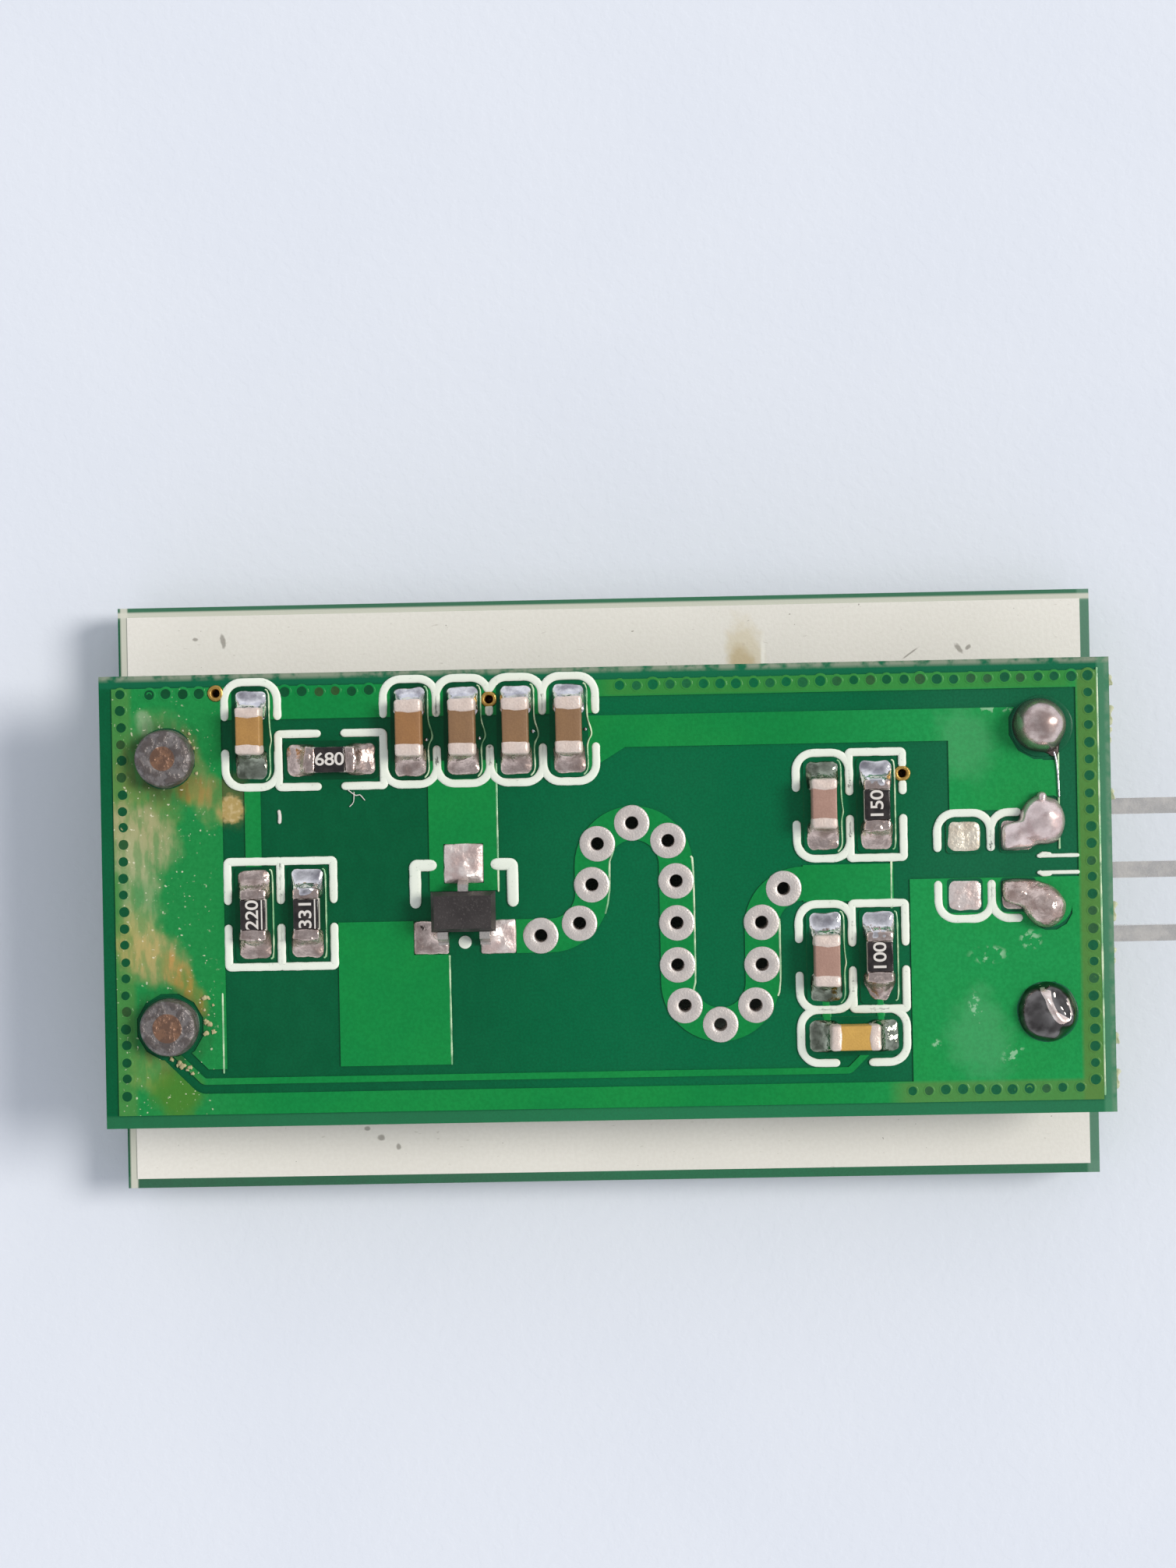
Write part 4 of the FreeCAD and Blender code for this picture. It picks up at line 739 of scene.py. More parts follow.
WEAR = (
    ("radio_board", laminate_mask, 0, 0),
    ("copper_artwork", copper_mask, 0, 0),
    ("antenna_board", antenna_mask, 0, 0),
    ("white_print", white_face(), 0, 0),
    ("antenna_patches", patch_mask, 0, 0),
    ("post_", tinned_wire, 0, 0),
    ("header_pin", pin_plating, 0.06, 3),
    ("_leads", plated_lead, 0.02, 2),
    ("_body", epoxy, 0.05, 3),
    ("pin_solder", grey_solder, 0.03, 2),
    ("under_chip_solder", grey_solder, 0.03, 2),
    ("under_pads", tin_ring, 0.02, 2),
    ("under_capacitor", ceramics["capacitor_3"], 0.04, 2),
    ("under_resistor", overcoat, 0.03, 2),
)
for node_name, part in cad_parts.items():
    for word, material, softened, steps in WEAR:
        if word not in node_name:
            continue
        part.data.materials.clear()
        part.data.materials.append(material)
        if softened:
            rounding = part.modifiers.new("soft_edges", "BEVEL")
            rounding.width = softened * MM
            rounding.segments = steps
            rounding.limit_method = "ANGLE"
            rounding.angle_limit = math.radians(40)
            rounding.harden_normals = False


# Chips: x, y and whether they lie along x; a resistor's digits are plain numbers only

CAPACITORS = {
    "capacitor_1": (-10.95, 5.15, False),
    "capacitor_2": (-6.0, 5.15, False),
    "capacitor_3": (-4.35, 5.15, False),
    "capacitor_4": (-2.7, 5.15, False),
    "capacitor_5": (-1.05, 5.15, False),
    "capacitor_6": (6.78, 2.6, False),
    "capacitor_7": (6.78, -2.09, False),
    "capacitor_8": (7.605, -4.555, True),
}
RESISTORS = {
    "resistor_1": (-8.475, 4.325, True, "680"),
    "resistor_2": (-10.95, -0.44, False, "220"),
    "resistor_3": (-9.3, -0.44, False, "331"),
    "resistor_4": (8.43, 2.6, False, "150"),
    "resistor_5": (8.43, -2.09, False, "100"),
}
SPARES = ((11.12, 0.65), (12.77, 0.65))
# Length, breadth, length of an end cap, and how far the chip sits off the middle of its pads
COMMON_CAPACITOR = (1.76, 0.84, 0.42, 0.1)
CAPACITOR_SIZES = {
    "capacitor_1": (1.46, 0.8, 0.34, 0.1),
    "capacitor_6": (1.54, 0.8, 0.36, 0.07),
    "capacitor_7": (1.6, 0.82, 0.38, -0.08),
    "capacitor_8": (1.54, 0.8, 0.36, 0.0),
}
CAPACITOR_HEIGHT, RESISTOR_HEIGHT = 0.8, 0.42
RESISTOR_LENGTH, RESISTOR_BREADTH, RESISTOR_CAP = 1.6, 0.83, 0.36
OVERCOAT_LENGTH, OVERCOAT_LEVEL = 0.92, PAD_TOP + 0.335
PAD_REACH, PAD_LENGTH, PAD_BREADTH = 0.92, 0.94, 1.02
CLEARING_LEVEL = COPPER_TOP + 0.004
# Length, breadth and corner of each kind of clearing
CAPACITOR_CLEARING, RESISTOR_CLEARING = (3.0, 1.2, 0.16), (2.96, 1.2, 0.16)
SPARE_CLEARING = (1.06, 1.1, 0.12, PAD_REACH, 0.0)
OVERLAP = 0.03  # of a joint over the chip's end

clearings = Form()
chip_joints = Form()
BRIGHT, GREY, CREAM, PAINTED_GREEN, FROSTED = range(5)
JOINT_FINISHES = [bright_solder, grey_solder, cream_solder, painted_green_solder, frosted_solder]


def chip_joint(x, y, lies, end, chip_end, top, hold, number, tip=0.0, seed=0.0):
    """Solder of one chip end over its whole pad: high at the end cap, hollow towards the edge."""
    where = standing(x, y, lies)
    if end < 0:
        where = where @ Matrix.Rotation(math.pi, 4, "Z")

    def height(u, v, share):
        beyond = u - chip_end
        fall = math.exp(-max(beyond, 0) / 0.2) if beyond > -hold else 0.0
        half = 0.5 - tip * max(beyond, 0)
        side = max(0.0, 1 - abs(v / half) ** 3) if abs(v) < half else 0.0
        swell = 0.07 + shake((u, v, 0), 0.35, 0.04, seed)
        climb = top * fall * side * (1 + shake((u, v, 0), 0.3, 0.12, seed))
        return PAD_TOP - 0.045 + rounded(share, 6) * (swell + climb)

    rim = rounded_rim(PAD_LENGTH, PAD_BREADTH, 0.2, PAD_REACH, 0.0)
    rim = [(u, v * (1 - tip * max(0.0, u - chip_end))) for u, v in rim]
    heap(chip_joints, shaken(rim, 0.04, seed, seed + 3), height, 12, number, where)


def clearing(rim, where):
    """Sunken mask inside a rim, where no copper lies under it, made darker still as painted shade.
    """
    heap(clearings, rim, lambda u, v, share: CLEARING_LEVEL, 2, 0, where)


for index, (name, (x, y, lies)) in enumerate(CAPACITORS.items()):
    length, across, cap_length, shift = CAPACITOR_SIZES.get(name, COMMON_CAPACITOR)
    clearing(rounded_rim(*CAPACITOR_CLEARING), standing(x, y, lies))
    upper = PAINTED_GREEN if name in ("capacitor_6", "capacitor_8") else BRIGHT
    lower = PAINTED_GREEN if name in ("capacitor_1", "capacitor_7", "capacitor_8") else GREY
    half = length / 2 - OVERLAP
    chip_joint(x, y, lies, 1, half + shift, 0.5, 0.25, upper, seed=index)
    chip_joint(x, y, lies, -1, half - shift, 0.4, 0.25, lower, seed=index + 20)
    where = standing(x + (shift if lies else 0), y + shift, lies)
    body = Form()
    bar = (length - 0.08, across - 0.04, CAPACITOR_HEIGHT - 0.04)
    block(body, bar, 0.05, PAD_TOP + 0.01, 0, where, bumps=0.006)
    for end in (-1, 1):
        at = (end * (length - cap_length) / 2, 0)
        cap = (cap_length, across, CAPACITOR_HEIGHT)
        block(body, cap, 0.1, PAD_TOP, 1, where, at, 4, bumps=0.035)
    piece(f"{name}_chip", body, [ceramics[name], end_cap], [name], 30)

for index, (name, (x, y, lies, _)) in enumerate(RESISTORS.items()):
    where = standing(x, y, lies)
    clearing(rounded_rim(*RESISTOR_CLEARING), where)
    tapered = 0.9 if name == "resistor_5" else 0.0
    upper = GREY if name in ("resistor_1", "resistor_2") else BRIGHT
    half = RESISTOR_LENGTH / 2
    chip_joint(x, y, lies, 1, half, 0.42, 0.32, upper, seed=index + 40)
    chip_joint(x, y, lies, -1, half, 0.42, 0.32, GREY, tapered, index + 60)
    body = Form()
    base = (RESISTOR_LENGTH - 0.06, RESISTOR_BREADTH - 0.04, RESISTOR_HEIGHT - 0.06)
    block(body, base, 0.03, PAD_TOP + 0.01, 0, where)
    glass = (OVERCOAT_LENGTH, RESISTOR_BREADTH - 0.04, 0.1)
    block(body, glass, 0.045, OVERCOAT_LEVEL, 1, where, bumps=0.01)
    for end in (-1, 1):
        at = (end * (RESISTOR_LENGTH - RESISTOR_CAP) / 2, 0)
        cap = (RESISTOR_CAP, RESISTOR_BREADTH, RESISTOR_HEIGHT)
        block(body, cap, 0.09, PAD_TOP, 2, where, at, 4, bumps=0.04)
    piece(f"{name}_chip", body, [alumina, overcoat, grey_solder], [name], 30)

SPARE_FINISHES = {(0, 1): CREAM, (0, -1): FROSTED}
for index, (x, y) in enumerate(SPARES):
    for end in (-1, 1):
        where = standing(x, y) @ Matrix.Rotation(0 if end > 0 else math.pi, 4, "Z")
        clearing(rounded_rim(*SPARE_CLEARING), where)
        matt = SPARE_FINISHES.get((index, end), GREY)
        chip_joint(x, y, False, end, 9.0, 0.0, 0.0, matt, seed=80 + index * 2 + end)

piece("pad_clearings", clearings, [dark_mask], crease=35)
piece("chip_joints", chip_joints, JOINT_FINISHES, ["chip_solder"], 50)

DIGIT_SIZE, DIGIT_THICK, DIGIT_LEVEL = 0.56, 0.004, PAD_TOP + 0.44
for name, (x, y, lies, digits) in RESISTORS.items():
    lettering = bpy.data.curves.new(f"{name}_digits", "FONT")
    lettering.body = digits
    lettering.size = DIGIT_SIZE * MM
    lettering.space_character = 0.95
    lettering.extrude = DIGIT_THICK * MM
    lettering.offset = 0.006 * MM
    lettering.align_x = "CENTER"
    lettering.align_y = "CENTER"
    lettering.materials.append(digit_ink)
    marking = bpy.data.objects.new(f"{name}_digits", lettering)
    scene.collection.objects.link(marking)
    marking.location = (x * MM + MIDDLE_X, y * MM, DIGIT_LEVEL * MM)
    marking.rotation_euler = (0, 0, 0 if lies else math.pi / 2)
    marking.scale = (1.15, 1.0, 1.0)
    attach(marking, "root")

underlines = Form()
for name in ("resistor_2", "resistor_3"):
    x, y = RESISTORS[name][:2]
    line = smooth_line([(x + 0.28, y - 0.44), (x + 0.28, y + 0.44)])
    thread(underlines, line, 0.045, 0.012, DIGIT_LEVEL - 0.005)
piece("digit_underlines", underlines, [digit_ink])


# Transistor pads, with solder drawn up at the ends of the leads

TRANSISTOR = (-4.41, -0.45)
TRANSISTOR_PADS = (  # x and y from the transistor, length, breadth, finish, x and y of the lead end
    (-1.045, -0.82, 1.1, 1.05, GREY, -0.8, -0.75),
    (1.045, -0.82, 1.1, 1.05, FROSTED, 0.85, -0.75),
    (0, 1.47, 1.24, 1.23, FROSTED, 0.02, 1.05),
)
pads = Form()
for index, (x, y, length, breadth, number, lead_x, lead_y) in enumerate(TRANSISTOR_PADS):
    rim = rounded_rim(length, breadth, 0.07, TRANSISTOR[0] + x, TRANSISTOR[1] + y)

    def pad_height(u, v, share, seed=index, lead=(TRANSISTOR[0] + lead_x, TRANSISTOR[1] + lead_y)):
        away = ((u - lead[0]) / 0.24) ** 2 + ((v - lead[1]) / 0.3) ** 2
        swell = 0.08 + 0.2 * math.exp(-away) + shake((u, v, 0), 0.3, 0.07, seed)
        return FACE + 0.03 + rounded(share, 6) * swell

    heap(pads, shaken(rim, 0.03, index, index), pad_height, 12, number)


# Posts: dark flux round each, and solder on top

POSTS = {
    "rear_left": (-13.65, 4.45),
    "front_left": (-13.65, -3.9),
    "rear_right": (13.6, 4.95),
    "front_right": (13.6, -3.9),
}
flux_rings = Form()
FLUX_SECTION = over_face((0.5, 0.02), (0.5, 0.055), (0.9, 0.058), (0.94, 0.045), (0.96, 0.02))
for index, (x, y) in enumerate(POSTS.values()):
    collar(flux_rings, x, y, FLUX_SECTION, 40, 0.05, index)
piece("flux_rings", flux_rings, [dark_mask], crease=35)
piece("transistor_pads", pads, JOINT_FINISHES, ["solder_pads"], 50)

# The two left joints are flat, burnt and ringed, with the cut end of the wire at the middle
FLAT_JOINTS = {
    "rear_left": (0.39, 1.0, over_face(
        (0.9, 0), (0.92, 0.12), (0.89, 0.4), (0.85, 0.54), (0.74, 0.6), (0.5, 0.615), (0.42, 0.6),
        (0.38, 0.585), (0.3, 0.6), (0.15, 0.6),
    )),
    "front_left": (0.46, 2.0, over_face(
        (0.9, 0), (0.91, 0.15), (0.87, 0.45), (0.83, 0.56), (0.76, 0.6), (0.68, 0.58), (0.6, 0.605),
        (0.52, 0.585), (0.45, 0.61), (0.38, 0.595), (0.26, 0.61), (0.12, 0.6),
    )),
}
for corner, (wire_radius, seed, profile) in FLAT_JOINTS.items():
    flat = Form()
    turned(flat, *POSTS[corner], profile, 48, 0, 0.03, seed, (wire_radius, 1))
    name, node = f"{corner}_joint", f"top_solder_{corner}"
    piece(name, flat, [burnt_joint, wire_face], [node], 50)

# The rear right joint is a bead with a short tail towards the whisker
BEAD, BEAD_RADIUS = (13.5, 4.98), 0.83
TAIL = Matrix.Rotation(math.radians(-62), 2) @ Vector((1, 0))


def bead_reach(u, v):
    off = Vector((u, v)).angle(TAIL)
    return BEAD_RADIUS + 0.3 * math.exp(-((off / 0.24) ** 2))


def bead_height(x, y, share):
    away = math.dist((x, y), BEAD) / (BEAD_RADIUS + 0.03)
    round_top = math.sqrt(max(0.0, 1 - away**2.2))
    return SEAT + rounded(share, 10) * (0.1 + round_top + shake((x, y, 0), 0.5, 0.05, 3.0))


bead = Form()
heap(bead, circle(BEAD, 64, bead_reach), bead_height, 20, 0, None, BEAD)
piece("rear_right_joint", bead, [bead_solder], ["top_solder_rear_right"])

# The front right joint froze with a crest across it and a spur beside that; the pale skins laid
# over them are painted highlights
JOINT, JOINT_RADIUS = POSTS["front_right"], 0.92
CREST = ((-0.42, 0.78), (-0.1, 0.45), (0.1, 0.05), (0.38, -0.3), (0.72, -0.32))
SPUR = ((0.42, 0.5), (0.55, 0.2), (0.66, -0.12))
CREST_HIGHLIGHT_SKINS = (  # middle of each skin, and its outline
    ((0.05, 0.12), (
        (-0.32, 0.86), (-0.12, 0.9), (0.03, 0.84), (0.06, 0.55), (0.12, 0.3), (0.2, 0.08),
        (0.3, -0.12), (0.5, -0.26), (0.76, -0.3), (0.55, -0.38), (0.35, -0.42), (0.16, -0.3),
        (0.02, -0.1), (-0.1, 0.16), (-0.18, 0.42), (-0.3, 0.66),
    )),
    ((0.62, 0.14), (
        (0.5, 0.42), (0.58, 0.44), (0.68, 0.1), (0.74, -0.16), (0.66, -0.1), (0.58, 0.14),
    )),
)


def joint_reach(u, v):
    return JOINT_RADIUS + shake((u, v, 0), 0.5, 0.05, 4.0)


def ridged_height(u, v, share):
    spot = (u - JOINT[0], v - JOINT[1])
    dome = 0.34 * math.sqrt(max(0.0, 1 - share**2.4))
    crest = 0.16 * math.exp(-((near(spot, CREST) / 0.2) ** 2))
    spur = 0.08 * math.exp(-((near(spot, SPUR) / 0.12) ** 2))
    uneven = shake((u, v, 0), 0.45, 0.08, 4.0)
    return SEAT + rounded(share, 8) * (0.14 + dome + crest + spur + uneven)


def painted_highlight_height(u, v, share):
    under_skin = ridged_height(u, v, math.dist((u, v), JOINT) / JOINT_RADIUS)
    return under_skin + 0.03 * (1 - share**4) - 0.012


ridged = Form()
heap(ridged, circle(JOINT, 72, joint_reach), ridged_height, 26, 0, None, JOINT)
for (middle_x, middle_y), outline in CREST_HIGHLIGHT_SKINS:
    placed = [(JOINT[0] + u, JOINT[1] + v) for u, v in (*outline, outline[0])]
    middle = (JOINT[0] + middle_x, JOINT[1] + middle_y)
    heap(ridged, smooth_line(placed, 0.05)[:-1], painted_highlight_height, 8, 1, None, middle)
piece(
    "front_right_joint", ridged, [dark_solder, crest_highlight_solder], ["top_solder_front_right"]
)


# Two drops of solder that run into the pads of the half-drawn outline


def drop(name, node_name, outline, centre, top, radius, stem, material, seed):
    """A drop whose dome runs down along a stem to the pad."""
    form = Form()
    rim = smooth_line([*outline, outline[0]], 0.09)[:-1]

    def height(x, y, share):
        away = math.dist((x, y), top) / radius
        dome = 0.62 * math.sqrt(max(0.0, 1 - away * away))
        neck = 0.3 * math.exp(-((near((x, y), (top, stem)) / 0.42) ** 2))
        blended = (dome**3 + (0.16 + neck) ** 3) ** (1 / 3)
        return SEAT + rounded(share, 12) * (blended + shake((x, y, 0), 0.35, 0.05, seed))

    heap(form, rim, height, 18, 0, None, centre)
    piece(name, form, [material], [node_name])


REAR_DROP = (
    (13.55, 2.9), (13.72, 2.76), (13.98, 2.66), (14.17, 2.36), (14.25, 1.98), (14.16, 1.6),
    (14.0, 1.36), (13.75, 1.28), (13.4, 1.26), (13.1, 1.15), (12.64, 1.11), (12.3, 1.14),
    (12.25, 1.5), (12.3, 1.86), (12.55, 1.97), (12.8, 2.05), (12.9, 2.33), (13.08, 2.6),
    (13.33, 2.78),
)
FRONT_DROP = (
    (12.28, 0.17), (12.62, 0.23), (13.06, 0.21), (13.39, 0.15), (13.82, -0.02), (14.09, -0.3),
    (14.23, -0.58), (14.15, -0.96), (13.9, -1.23), (13.58, -1.31), (13.25, -1.19), (12.98, -0.89),
    (12.82, -0.66), (12.5, -0.55), (12.3, -0.42), (12.24, -0.05),
)
rear_place = ((13.35, 1.95), (13.58, 2.05), 0.8, (12.6, 1.5))
front_place = ((13.2, -0.4), (13.6, -0.65), 0.78, (12.7, -0.15))
drop("rear_drop", "solder_blob_rear", REAR_DROP, *rear_place, drop_solder, 7.0)
drop("front_drop", "solder_blob_front", FRONT_DROP, *front_place, brown_solder, 8.0)

# Mask between the front drop and its copper field
RING_PLACE, RING_SECTION = (13.65, -0.5), ((0.4, 0.02), (0.4, 0.04), (0.78, 0.044), (0.8, 0.02))
ring = Form()
collar(ring, *RING_PLACE, over_face(*RING_SECTION), 40)
piece("front_drop_mask", ring, [copper_mask], crease=35)


# Plated eyelets along the serpentine resonator

BEND = 1.31
START = Vector((-2.815, -1.27))
PATH = (  # straight legs in millimetres, and turns in degrees
    ("leg", 1.07), ("turn", 90), ("leg", 0.83), ("turn", -180), ("leg", 3.69), ("turn", 180),
    ("leg", 1.71), ("turn", -90),
)
EYELET_COUNT, FIRST_EYELET, EYELET_PITCH = 15, 0.765, 1.304
BORE, WALL, RING = 0.2, 0.026, 0.56


def resonator_point(distance):
    """Point of the resonator's centre line at a distance from its start."""
    here, heading = START.copy(), 0.0
    for kind, amount in PATH:
        onward = Vector((math.cos(heading), math.sin(heading)))
        if kind == "leg":
            if distance <= amount:
                return here + onward * distance
            here = here + onward * amount
            distance -= amount
            continue
        sign = math.copysign(1, amount)
        length = BEND * abs(math.radians(amount))
        centre = here + Vector((-onward.y, onward.x)) * BEND * sign
        swept = min(distance, length) / BEND * sign
        here = centre + Matrix.Rotation(swept, 2) @ (here - centre)
        if distance <= length:
            return here
        heading += math.radians(amount)
        distance -= length
    return here


EYELET_SECTION = [
    (BORE, UNDERSIDE + 0.02),
    *over_face((BORE, 0.02), (0.215, 0.052), (0.25, 0.068), (0.36, 0.074), (0.49, 0.07)),
    *over_face((0.54, 0.058), (RING, 0.03), (RING, -0.01), (BORE + WALL, -0.01)),
    (BORE + WALL, UNDERSIDE + 0.02),
]
eyelets = Form()
for index in range(EYELET_COUNT):
    spot = resonator_point(FIRST_EYELET + index * EYELET_PITCH)
    collar(eyelets, spot.x, spot.y, EYELET_SECTION, 40, 0.012, index)
piece("plated_eyelets", eyelets, [tin_ring], ["resonator_eyelets"], 50)

# Open vias: a copper ring round a bore, with a near-black disc in its depth as painted shade
OPEN_VIAS = ((-12.04, 6.46), (-3.525, 6.11), (9.255, 3.56))
VIA_SECTION = [
    (0.13, UNDERSIDE + 0.02),
    *over_face((0.13, 0.04), (0.15, 0.066), (0.19, 0.08), (0.23, 0.066), (0.25, 0.04)),
    *over_face((0.25, -0.01), (0.152, -0.01)),
    (0.152, UNDERSIDE + 0.02),
]
BORE_SHADE_DISC = [
    (radius, UNDERSIDE + level)
    for radius, level in ((0.14, 0.2), (0.14, 0.45), (0.07, 0.4), (0.02, 0.39))
]
rings = Form()
for index, (x, y) in enumerate(OPEN_VIAS):
    collar(rings, x, y, VIA_SECTION, 28, 0.06, index)
    turned(rings, x, y, BORE_SHADE_DISC, 16, 1)
piece("open_via_rings", rings, [gold_ring, bore_shade], ["open_vias"], 50)

# Masked vias: the mask dips into each small hole, and is browned in some
VIA_ROWS = (  # x and y of the first, the step along x and y, and how many
    (-15.02, 6.5, 0, -0.5222, 25),
    (15.04, 6.5, 0, -0.5222, 25),
    (-14.1, 6.46, 0.5167, 0, 4),
    (-9.87, 6.46, 0.522, 0, 6),
    (0.55, 6.46, 0.5175, 0, 28),
    (9.38, -6.28, 0.5172, 0, 11),
)
CUP = ((0.225, -0.012), (0.2, 0.006), (0.172, 0.011), (0.15, 0.008))
PIT_RADIUS = 0.15
PIT = ((PIT_RADIUS, 0.008), (0.12, 0.004), (0.08, 0.002), (0.03, 0.001))
random.seed(4)
tents = Form()
for first_x, first_y, step_x, step_y, count in VIA_ROWS:
    for step in range(count):
        x = first_x + step_x * step + random.uniform(-0.02, 0.02)
        y = first_y + step_y * step + random.uniform(-0.02, 0.02)
        size = random.uniform(0.9, 1.08)
        tone = 1 if random.random() < 0.82 else 2
        profile = [(radius * size, COPPER_TOP + level) for radius, level in CUP + PIT]
        turned(tents, x, y, profile, 20, 0, 0.05, x + y, ((PIT_RADIUS + 0.003) * size, tone))
piece("tented_vias", tents, [copper_mask, pit_mask, browned_mask])


# White legend: outlines, brackets, dot and the two arrows by the pins

INK_WIDTH, INK_THICK = 0.25, 0.03
OUTLINE_WIDTH, OUTLINE_LENGTH = 1.65, 3.28
BRACKET_WIDTH, BRACKET_SPAN, BRACKET_ARM = 0.36, 3.03, 0.5
BRACKET_LOW, BRACKET_HIGH = TRANSISTOR[1] + 0.28, TRANSISTOR[1] + 1.43
ARROWS, ARROW_TIP, BARB = ((0.4, -1), (0.92, 1)), 13.42, ((0.04, 0), (0.13, 0.06), (0.33, 0.04))
DOT_PLACE = (TRANSISTOR[0], TRANSISTOR[1] - 0.98)
DOT = over_face((0.2, -0.01), (0.2, 0.02), (0.17, 0.032), (0.08, 0.035))
# Gap in the long sides and bend of the corners
CAPACITOR_OUTLINE, RESISTOR_OUTLINE = (1.14, 0.55), (0.86, 0.07)


def clear_of_vias(line):
    """The parts of a pen line that keep off the open vias."""
    parts, current = [], []
    for spot in line:
        if min(math.dist(spot, via) for via in OPEN_VIAS) > 0.28:
            current.append(spot)
        elif current:
            parts.append(current)
            current = []
    return [part for part in [*parts, current] if len(part) > 1]


def outline_line(points, bend):
    """Pen line with round inner corners, as closely spaced points."""
    corners = [Vector(p) for p in points]
    line = [corners[0]]
    for before, corner, after in zip(corners, corners[1:], corners[2:]):
        back, onward = (before - corner).normalized(), (after - corner).normalized()
        centre = corner + (back + onward) * bend
        for step in range(9):
            turn = step / 8 * math.pi / 2
            line.append(centre - (onward * math.cos(turn) + back * math.sin(turn)) * bend)
    line.append(corners[-1])
    filled = []
    for here, following in zip(line, line[1:]):
        parts = max(1, round((following - here).length / 0.1))
        filled += [tuple(here.lerp(following, part / parts)) for part in range(parts)]
    return filled + [tuple(line[-1])]


def ink(line, soft, seed, width=INK_WIDTH, level=COPPER_TOP):
    """A pen line of white ink."""
    thread(legend, line, width, INK_THICK, level, soft, seed)


legend = Form()
outlines = [(*place, *CAPACITOR_OUTLINE) for place in CAPACITORS.values()]
outlines += [(*place, *RESISTOR_OUTLINE) for *place, _ in RESISTORS.values()]
outlines.append((*SPARES[0], False, *CAPACITOR_OUTLINE))
for index, (x, y, lies, gap, bend) in enumerate(outlines):
    for end in (-1, 1):
        half_width, half_length = OUTLINE_WIDTH / 2, OUTLINE_LENGTH / 2
        corners = [
            (-half_width, end * gap / 2), (-half_width, end * half_length),
            (half_width, end * half_length), (half_width, end * gap / 2),
        ]
        placed = [(x + v, y - u) if lies else (x + u, y + v) for u, v in corners]
        for part in clear_of_vias(outline_line(placed, bend)):
            ink(part, 0.1, index + end)
x, y = SPARES[1]
left = x - OUTLINE_WIDTH / 2
for end in (-1, 1):
    far = y + end * OUTLINE_LENGTH / 2
    ink(outline_line([(left, y + end * 0.57), (left, far), (x, far)], 0.55), 0.1, end)
for side in (-1, 1):
    leg = TRANSISTOR[0] + side * BRACKET_SPAN / 2
    tip = (leg - side * BRACKET_ARM, BRACKET_HIGH)
    bracket = [(leg, BRACKET_LOW), (leg, BRACKET_HIGH), tip]
    ink(outline_line(bracket, 0.07), 0.08, side, BRACKET_WIDTH)
for arrow_y, side in ARROWS:
    shaft = [(ARROW_TIP + 0.1 * step, arrow_y) for step in range(13)]
    barb = [(ARROW_TIP + u, arrow_y + side * v) for u, v in BARB]
    ink(shaft, 0.15, arrow_y, 0.12, COPPER_TOP - 0.01)
    ink(smooth_line(barb), 0.15, side, 0.14, COPPER_TOP - 0.01)
turned(legend, *DOT_PLACE, DOT, 28, 0, 0.05, 9)
piece("legend_lines", legend, [white_ink], ["component_outlines"])


# Feet: solder mounds that hold the posts under the antenna board

FOOT_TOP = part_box("antenna_board")[0].z / MM
FOOT = (
    (0.3, 0.0), (0.42, 0.03), (0.52, 0.15), (0.6, 0.35), (0.7, 0.58), (0.82, 0.78),
    (0.92, FOOT_TOP),
)
feet = Form()
for index, (x, y) in enumerate(POSTS.values()):
    turned(feet, x, y, FOOT, 40, 0, 0.05, index + 11)
foot_nodes = [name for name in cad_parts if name.startswith("foot_solder")]
piece("foot_mounds", feet, [grey_solder], foot_nodes, 50)


# Painted highlights along the mask's steps: pale lines down the right sides of the copper fields
# and of the chip clearings

FIELD_EDGES = (
    ((-12.0, -2.9), (-12.0, -5.35)),
    ((-3.34, 4.1), (-3.34, 0.15)),
    ((-4.9, -1.85), (-4.89, -5.2)),
    ((2.66, 1.1), (2.72, 0.6), (2.72, -2.8), (2.64, -3.1)),
    ((14.08, 4.1), (14.07, 1.15)),
    ((8.86, 0.95), (8.84, -0.6)),
    ((0.27, 1.37), (0.13, 1.0), (0.11, 0.1), (0.05, -0.3), (-0.03, -0.6)),
    ((5.36, -0.9), (5.36, -2.8), (5.28, -3.25)),
    ((15.32, 6.7), (15.33, -6.5)),
)
CAPACITOR_EDGE = (
    (0.47, 1.4), (0.56, 1.25), (0.57, 0.4), (0.6, 0), (0.62, -0.2), (0.57, -0.5), (0.57, -1.2),
    (0.45, -1.42),
)
RESISTOR_EDGE = ((0.5, 1.38), (0.57, 1.2), (0.58, 0), (0.57, -1.2), (0.5, -1.38))
BULGE, BULGING = 0.07, range(1, 5)  # capacitors 2 to 5

glints = Form()


def edge_line(x, y, edge, seed, bulge=0.0):
    """Painted highlight line down the right side of a chip's clearing, which bulges at its middle.
    """
    line = [(x + u + (bulge if -0.3 < v < 0.3 else 0.0), y + v) for u, v in edge]
    thread(glints, smooth_line(line), 0.05, 0.03, COPPER_TOP, 0.5, seed)


for index, line in enumerate(FIELD_EDGES):
    thread(glints, smooth_line(line, 0.3), 0.06, 0.016, COPPER_TOP - 0.008, 0.4, index)
for index, (x, y, lies) in enumerate(CAPACITORS.values()):
    if not lies:
        edge_line(x, y, CAPACITOR_EDGE, index, BULGE if index in BULGING else 0.0)
for index, (x, y, lies, _) in enumerate(RESISTORS.values()):
    if not lies:
        edge_line(x, y, RESISTOR_EDGE, index + 9)
piece("painted_glints_on_mask_steps", glints, [painted_glint_finish()])


# Small things: flux crumbs, dust, links under mask, torn glass cloth and whiskers of solder

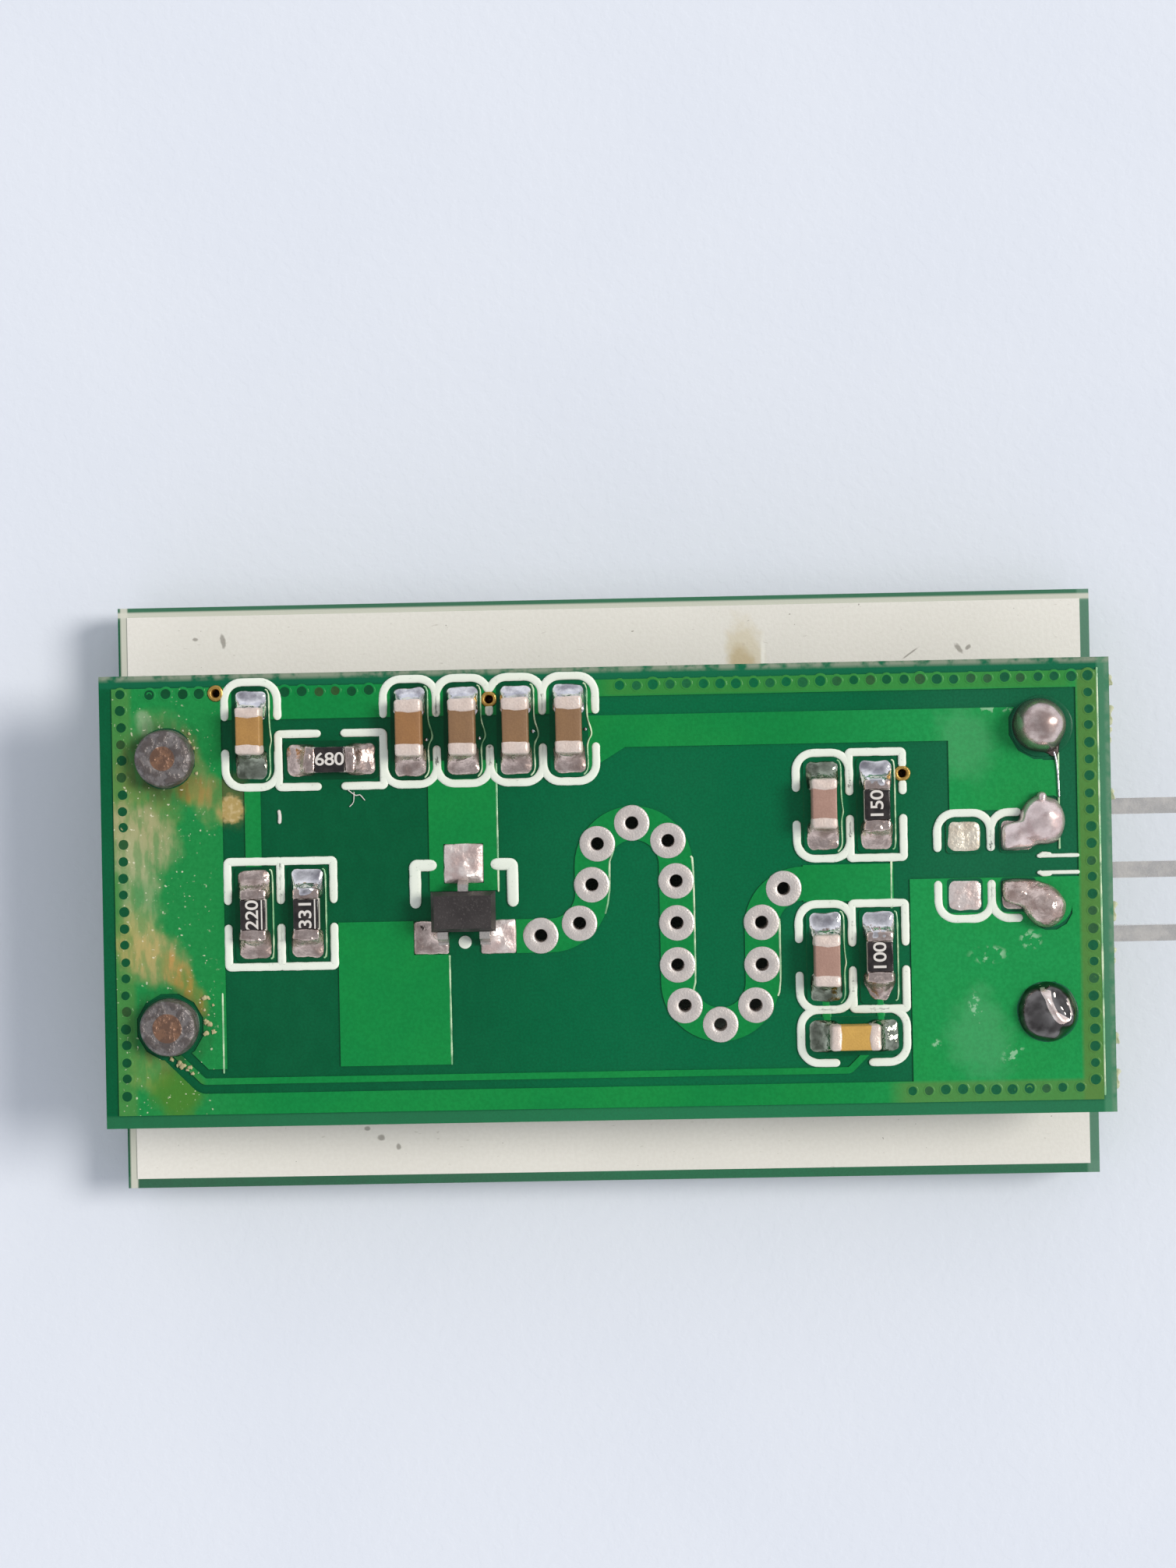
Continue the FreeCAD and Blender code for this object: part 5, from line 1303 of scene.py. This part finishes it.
CRUMB_LINES = (  # start, end, how many, and how far they stray
    ((-13.75, -4.75), (-12.7, -5.4), 12, 0.16),
    ((-12.45, -3.0), (-12.4, -4.4), 11, 0.14),
    ((-12.95, 5.2), (-12.5, 3.4), 5, 0.1),
)
random.seed(9)
crumbs = Form()
for start, end, count, spread in CRUMB_LINES:
    for _ in range(count):
        share = random.random()
        x = start[0] + (end[0] - start[0]) * share + random.uniform(-spread, spread)
        y = start[1] + (end[1] - start[1]) * share + random.uniform(-spread, spread)
        size = random.uniform(0.03, 0.085)
        crumb = [(size, COPPER_TOP - 0.01)]
        for radius, level in ((0.95, 0.3), (0.5, 0.6), (0.1, 0.65)):
            crumb.append((size * radius, COPPER_TOP + size * level))
        turned(crumbs, x, y, crumb, 12, 0, 0.9, x * 3)
piece("flux_crumbs", crumbs, [crusted_flux])

FLAKE = ((-10.13, 2.74), (-10.11, 2.6), (-10.12, 2.42))
FIBRES = (
    ((-7.95, 3.36), (-7.72, 3.2), (-7.6, 3.22), (-7.45, 3.05)),
    ((-7.78, 3.3), (-7.8, 3.0), (-7.92, 2.86)),
)
dust = Form()
thread(dust, smooth_line(FLAKE), 0.12, 0.05, SEAT, 0.3, 2)
for line in FIBRES:
    thread(dust, smooth_line(line), 0.03, 0.02, COPPER_TOP, 0.4, 5)
piece("dust_and_fibres", dust, [digit_ink])

LINKS = (  # width and line
    (0.3, ((6.72, -3.1), (6.75, -3.5), (6.8, -4.3))),
    (0.26, ((8.42, -3.3), (8.45, -3.7), (8.45, -4.3))),
)
links = Form()
for index, (width, line) in enumerate(LINKS, 1):
    thread(links, smooth_line(line), width, 0.03, SEAT, 0.05, index)
piece("masked_link_traces", links, [copper_mask])

BOARD_END = 15.74
NUB_PLACES = (6.3, 5.24, 4.6, 4.03, 2.75, -0.88, -2.3, -3.63, -4.85, -6.1)
nubs = Form()
for index, y in enumerate(NUB_PLACES):
    level = FACE - 0.6 - 0.25 * (index * 5 % 4)
    breadth = 0.3 + 0.11 * (index * 3 % 4)
    where = Matrix.Translation((BOARD_END, y, level))
    block(nubs, (0.3, breadth, 0.3), 0.1, 0.0, 0, where, bumps=0.16)
piece("torn_edge_nubs", nubs, [glass_fibre])

WHISKER = ((13.88, 4.25), (13.96, 4.07), (14.03, 3.74), (14.06, 3.3), (14.08, 2.75))
DROP_TIP = ((13.5, 2.4), (13.51, 2.6), (13.52, 2.76))
SOLDER_BALLS = ((-5.491, 4.893), (-3.836, 4.904), (-2.18, 5.091), (-0.536, 5.124))
BALL = over_face((0.055, 0.04), (0.05, 0.09), (0.01, 0.11))
whiskers = Form()
thread(whiskers, smooth_line(WHISKER), 0.07, 0.05, FACE + 0.05)
thread(whiskers, smooth_line(DROP_TIP), 0.3, 0.34, FACE + 0.1, 0.2, 4, 1)
for x, y in SOLDER_BALLS:
    turned(whiskers, x, y, BALL, 12, 0, 0.2, x)
piece("solder_whiskers", whiskers, [bright_solder, drop_solder])


# Floor, room and one soft sun from the right, as the photograph's shadows fall to the left

FLOOR = 1.5
ROOM_WALLS, ROOM_OVERHEAD = 1.0, 0.45
SUN_FROM = (0.8, 0.16, 0.72)
SUN_STRENGTH, SUN_ANGLE = 2.25, 22

floor_mesh = bpy.data.meshes.new("floor")
floor_corners = [(-FLOOR, -FLOOR, 0), (FLOOR, -FLOOR, 0), (FLOOR, FLOOR, 0), (-FLOOR, FLOOR, 0)]
floor_mesh.from_pydata(floor_corners, [], [(0, 1, 2, 3)])
floor_mesh.materials.append(pale_paper())
floor = bpy.data.objects.new("floor", floor_mesh)
scene.collection.objects.link(floor)

# The room is brighter towards its walls than overhead, and the camera sees it as white
world = bpy.data.worlds.new("studio")
scene.world = world
world.use_nodes = True
tree = world.node_tree
tree.nodes.clear()
direction = add(tree, "ShaderNodeTexCoord", output="Generated")
height = add(tree, "ShaderNodeSeparateXYZ", {0: direction}, 2)
room = {"Value": height, "From Min": 0.2, "From Max": 0.95}
room |= {"To Min": ROOM_WALLS, "To Max": ROOM_OVERHEAD}
gradient = add(tree, "ShaderNodeMapRange", room)
seen = add(tree, "ShaderNodeLightPath", output="Is Camera Ray")
strength = add(tree, "ShaderNodeMix", {0: seen, 2: gradient, 3: 1.0})
sky = add(tree, "ShaderNodeBackground", {"Color": linear("#f3f6fc"), "Strength": strength})
add(tree, "ShaderNodeOutputWorld", {"Surface": sky})

sun_data = bpy.data.lights.new("soft_sun", "SUN")
sun_data.energy = SUN_STRENGTH
sun_data.angle = math.radians(SUN_ANGLE)
sun_data.color = linear("#fffaf2")[:3]
sun = bpy.data.objects.new("soft_sun", sun_data)
sun.rotation_euler = Vector(SUN_FROM).to_track_quat("Z", "Y").to_euler()
scene.collection.objects.link(sun)
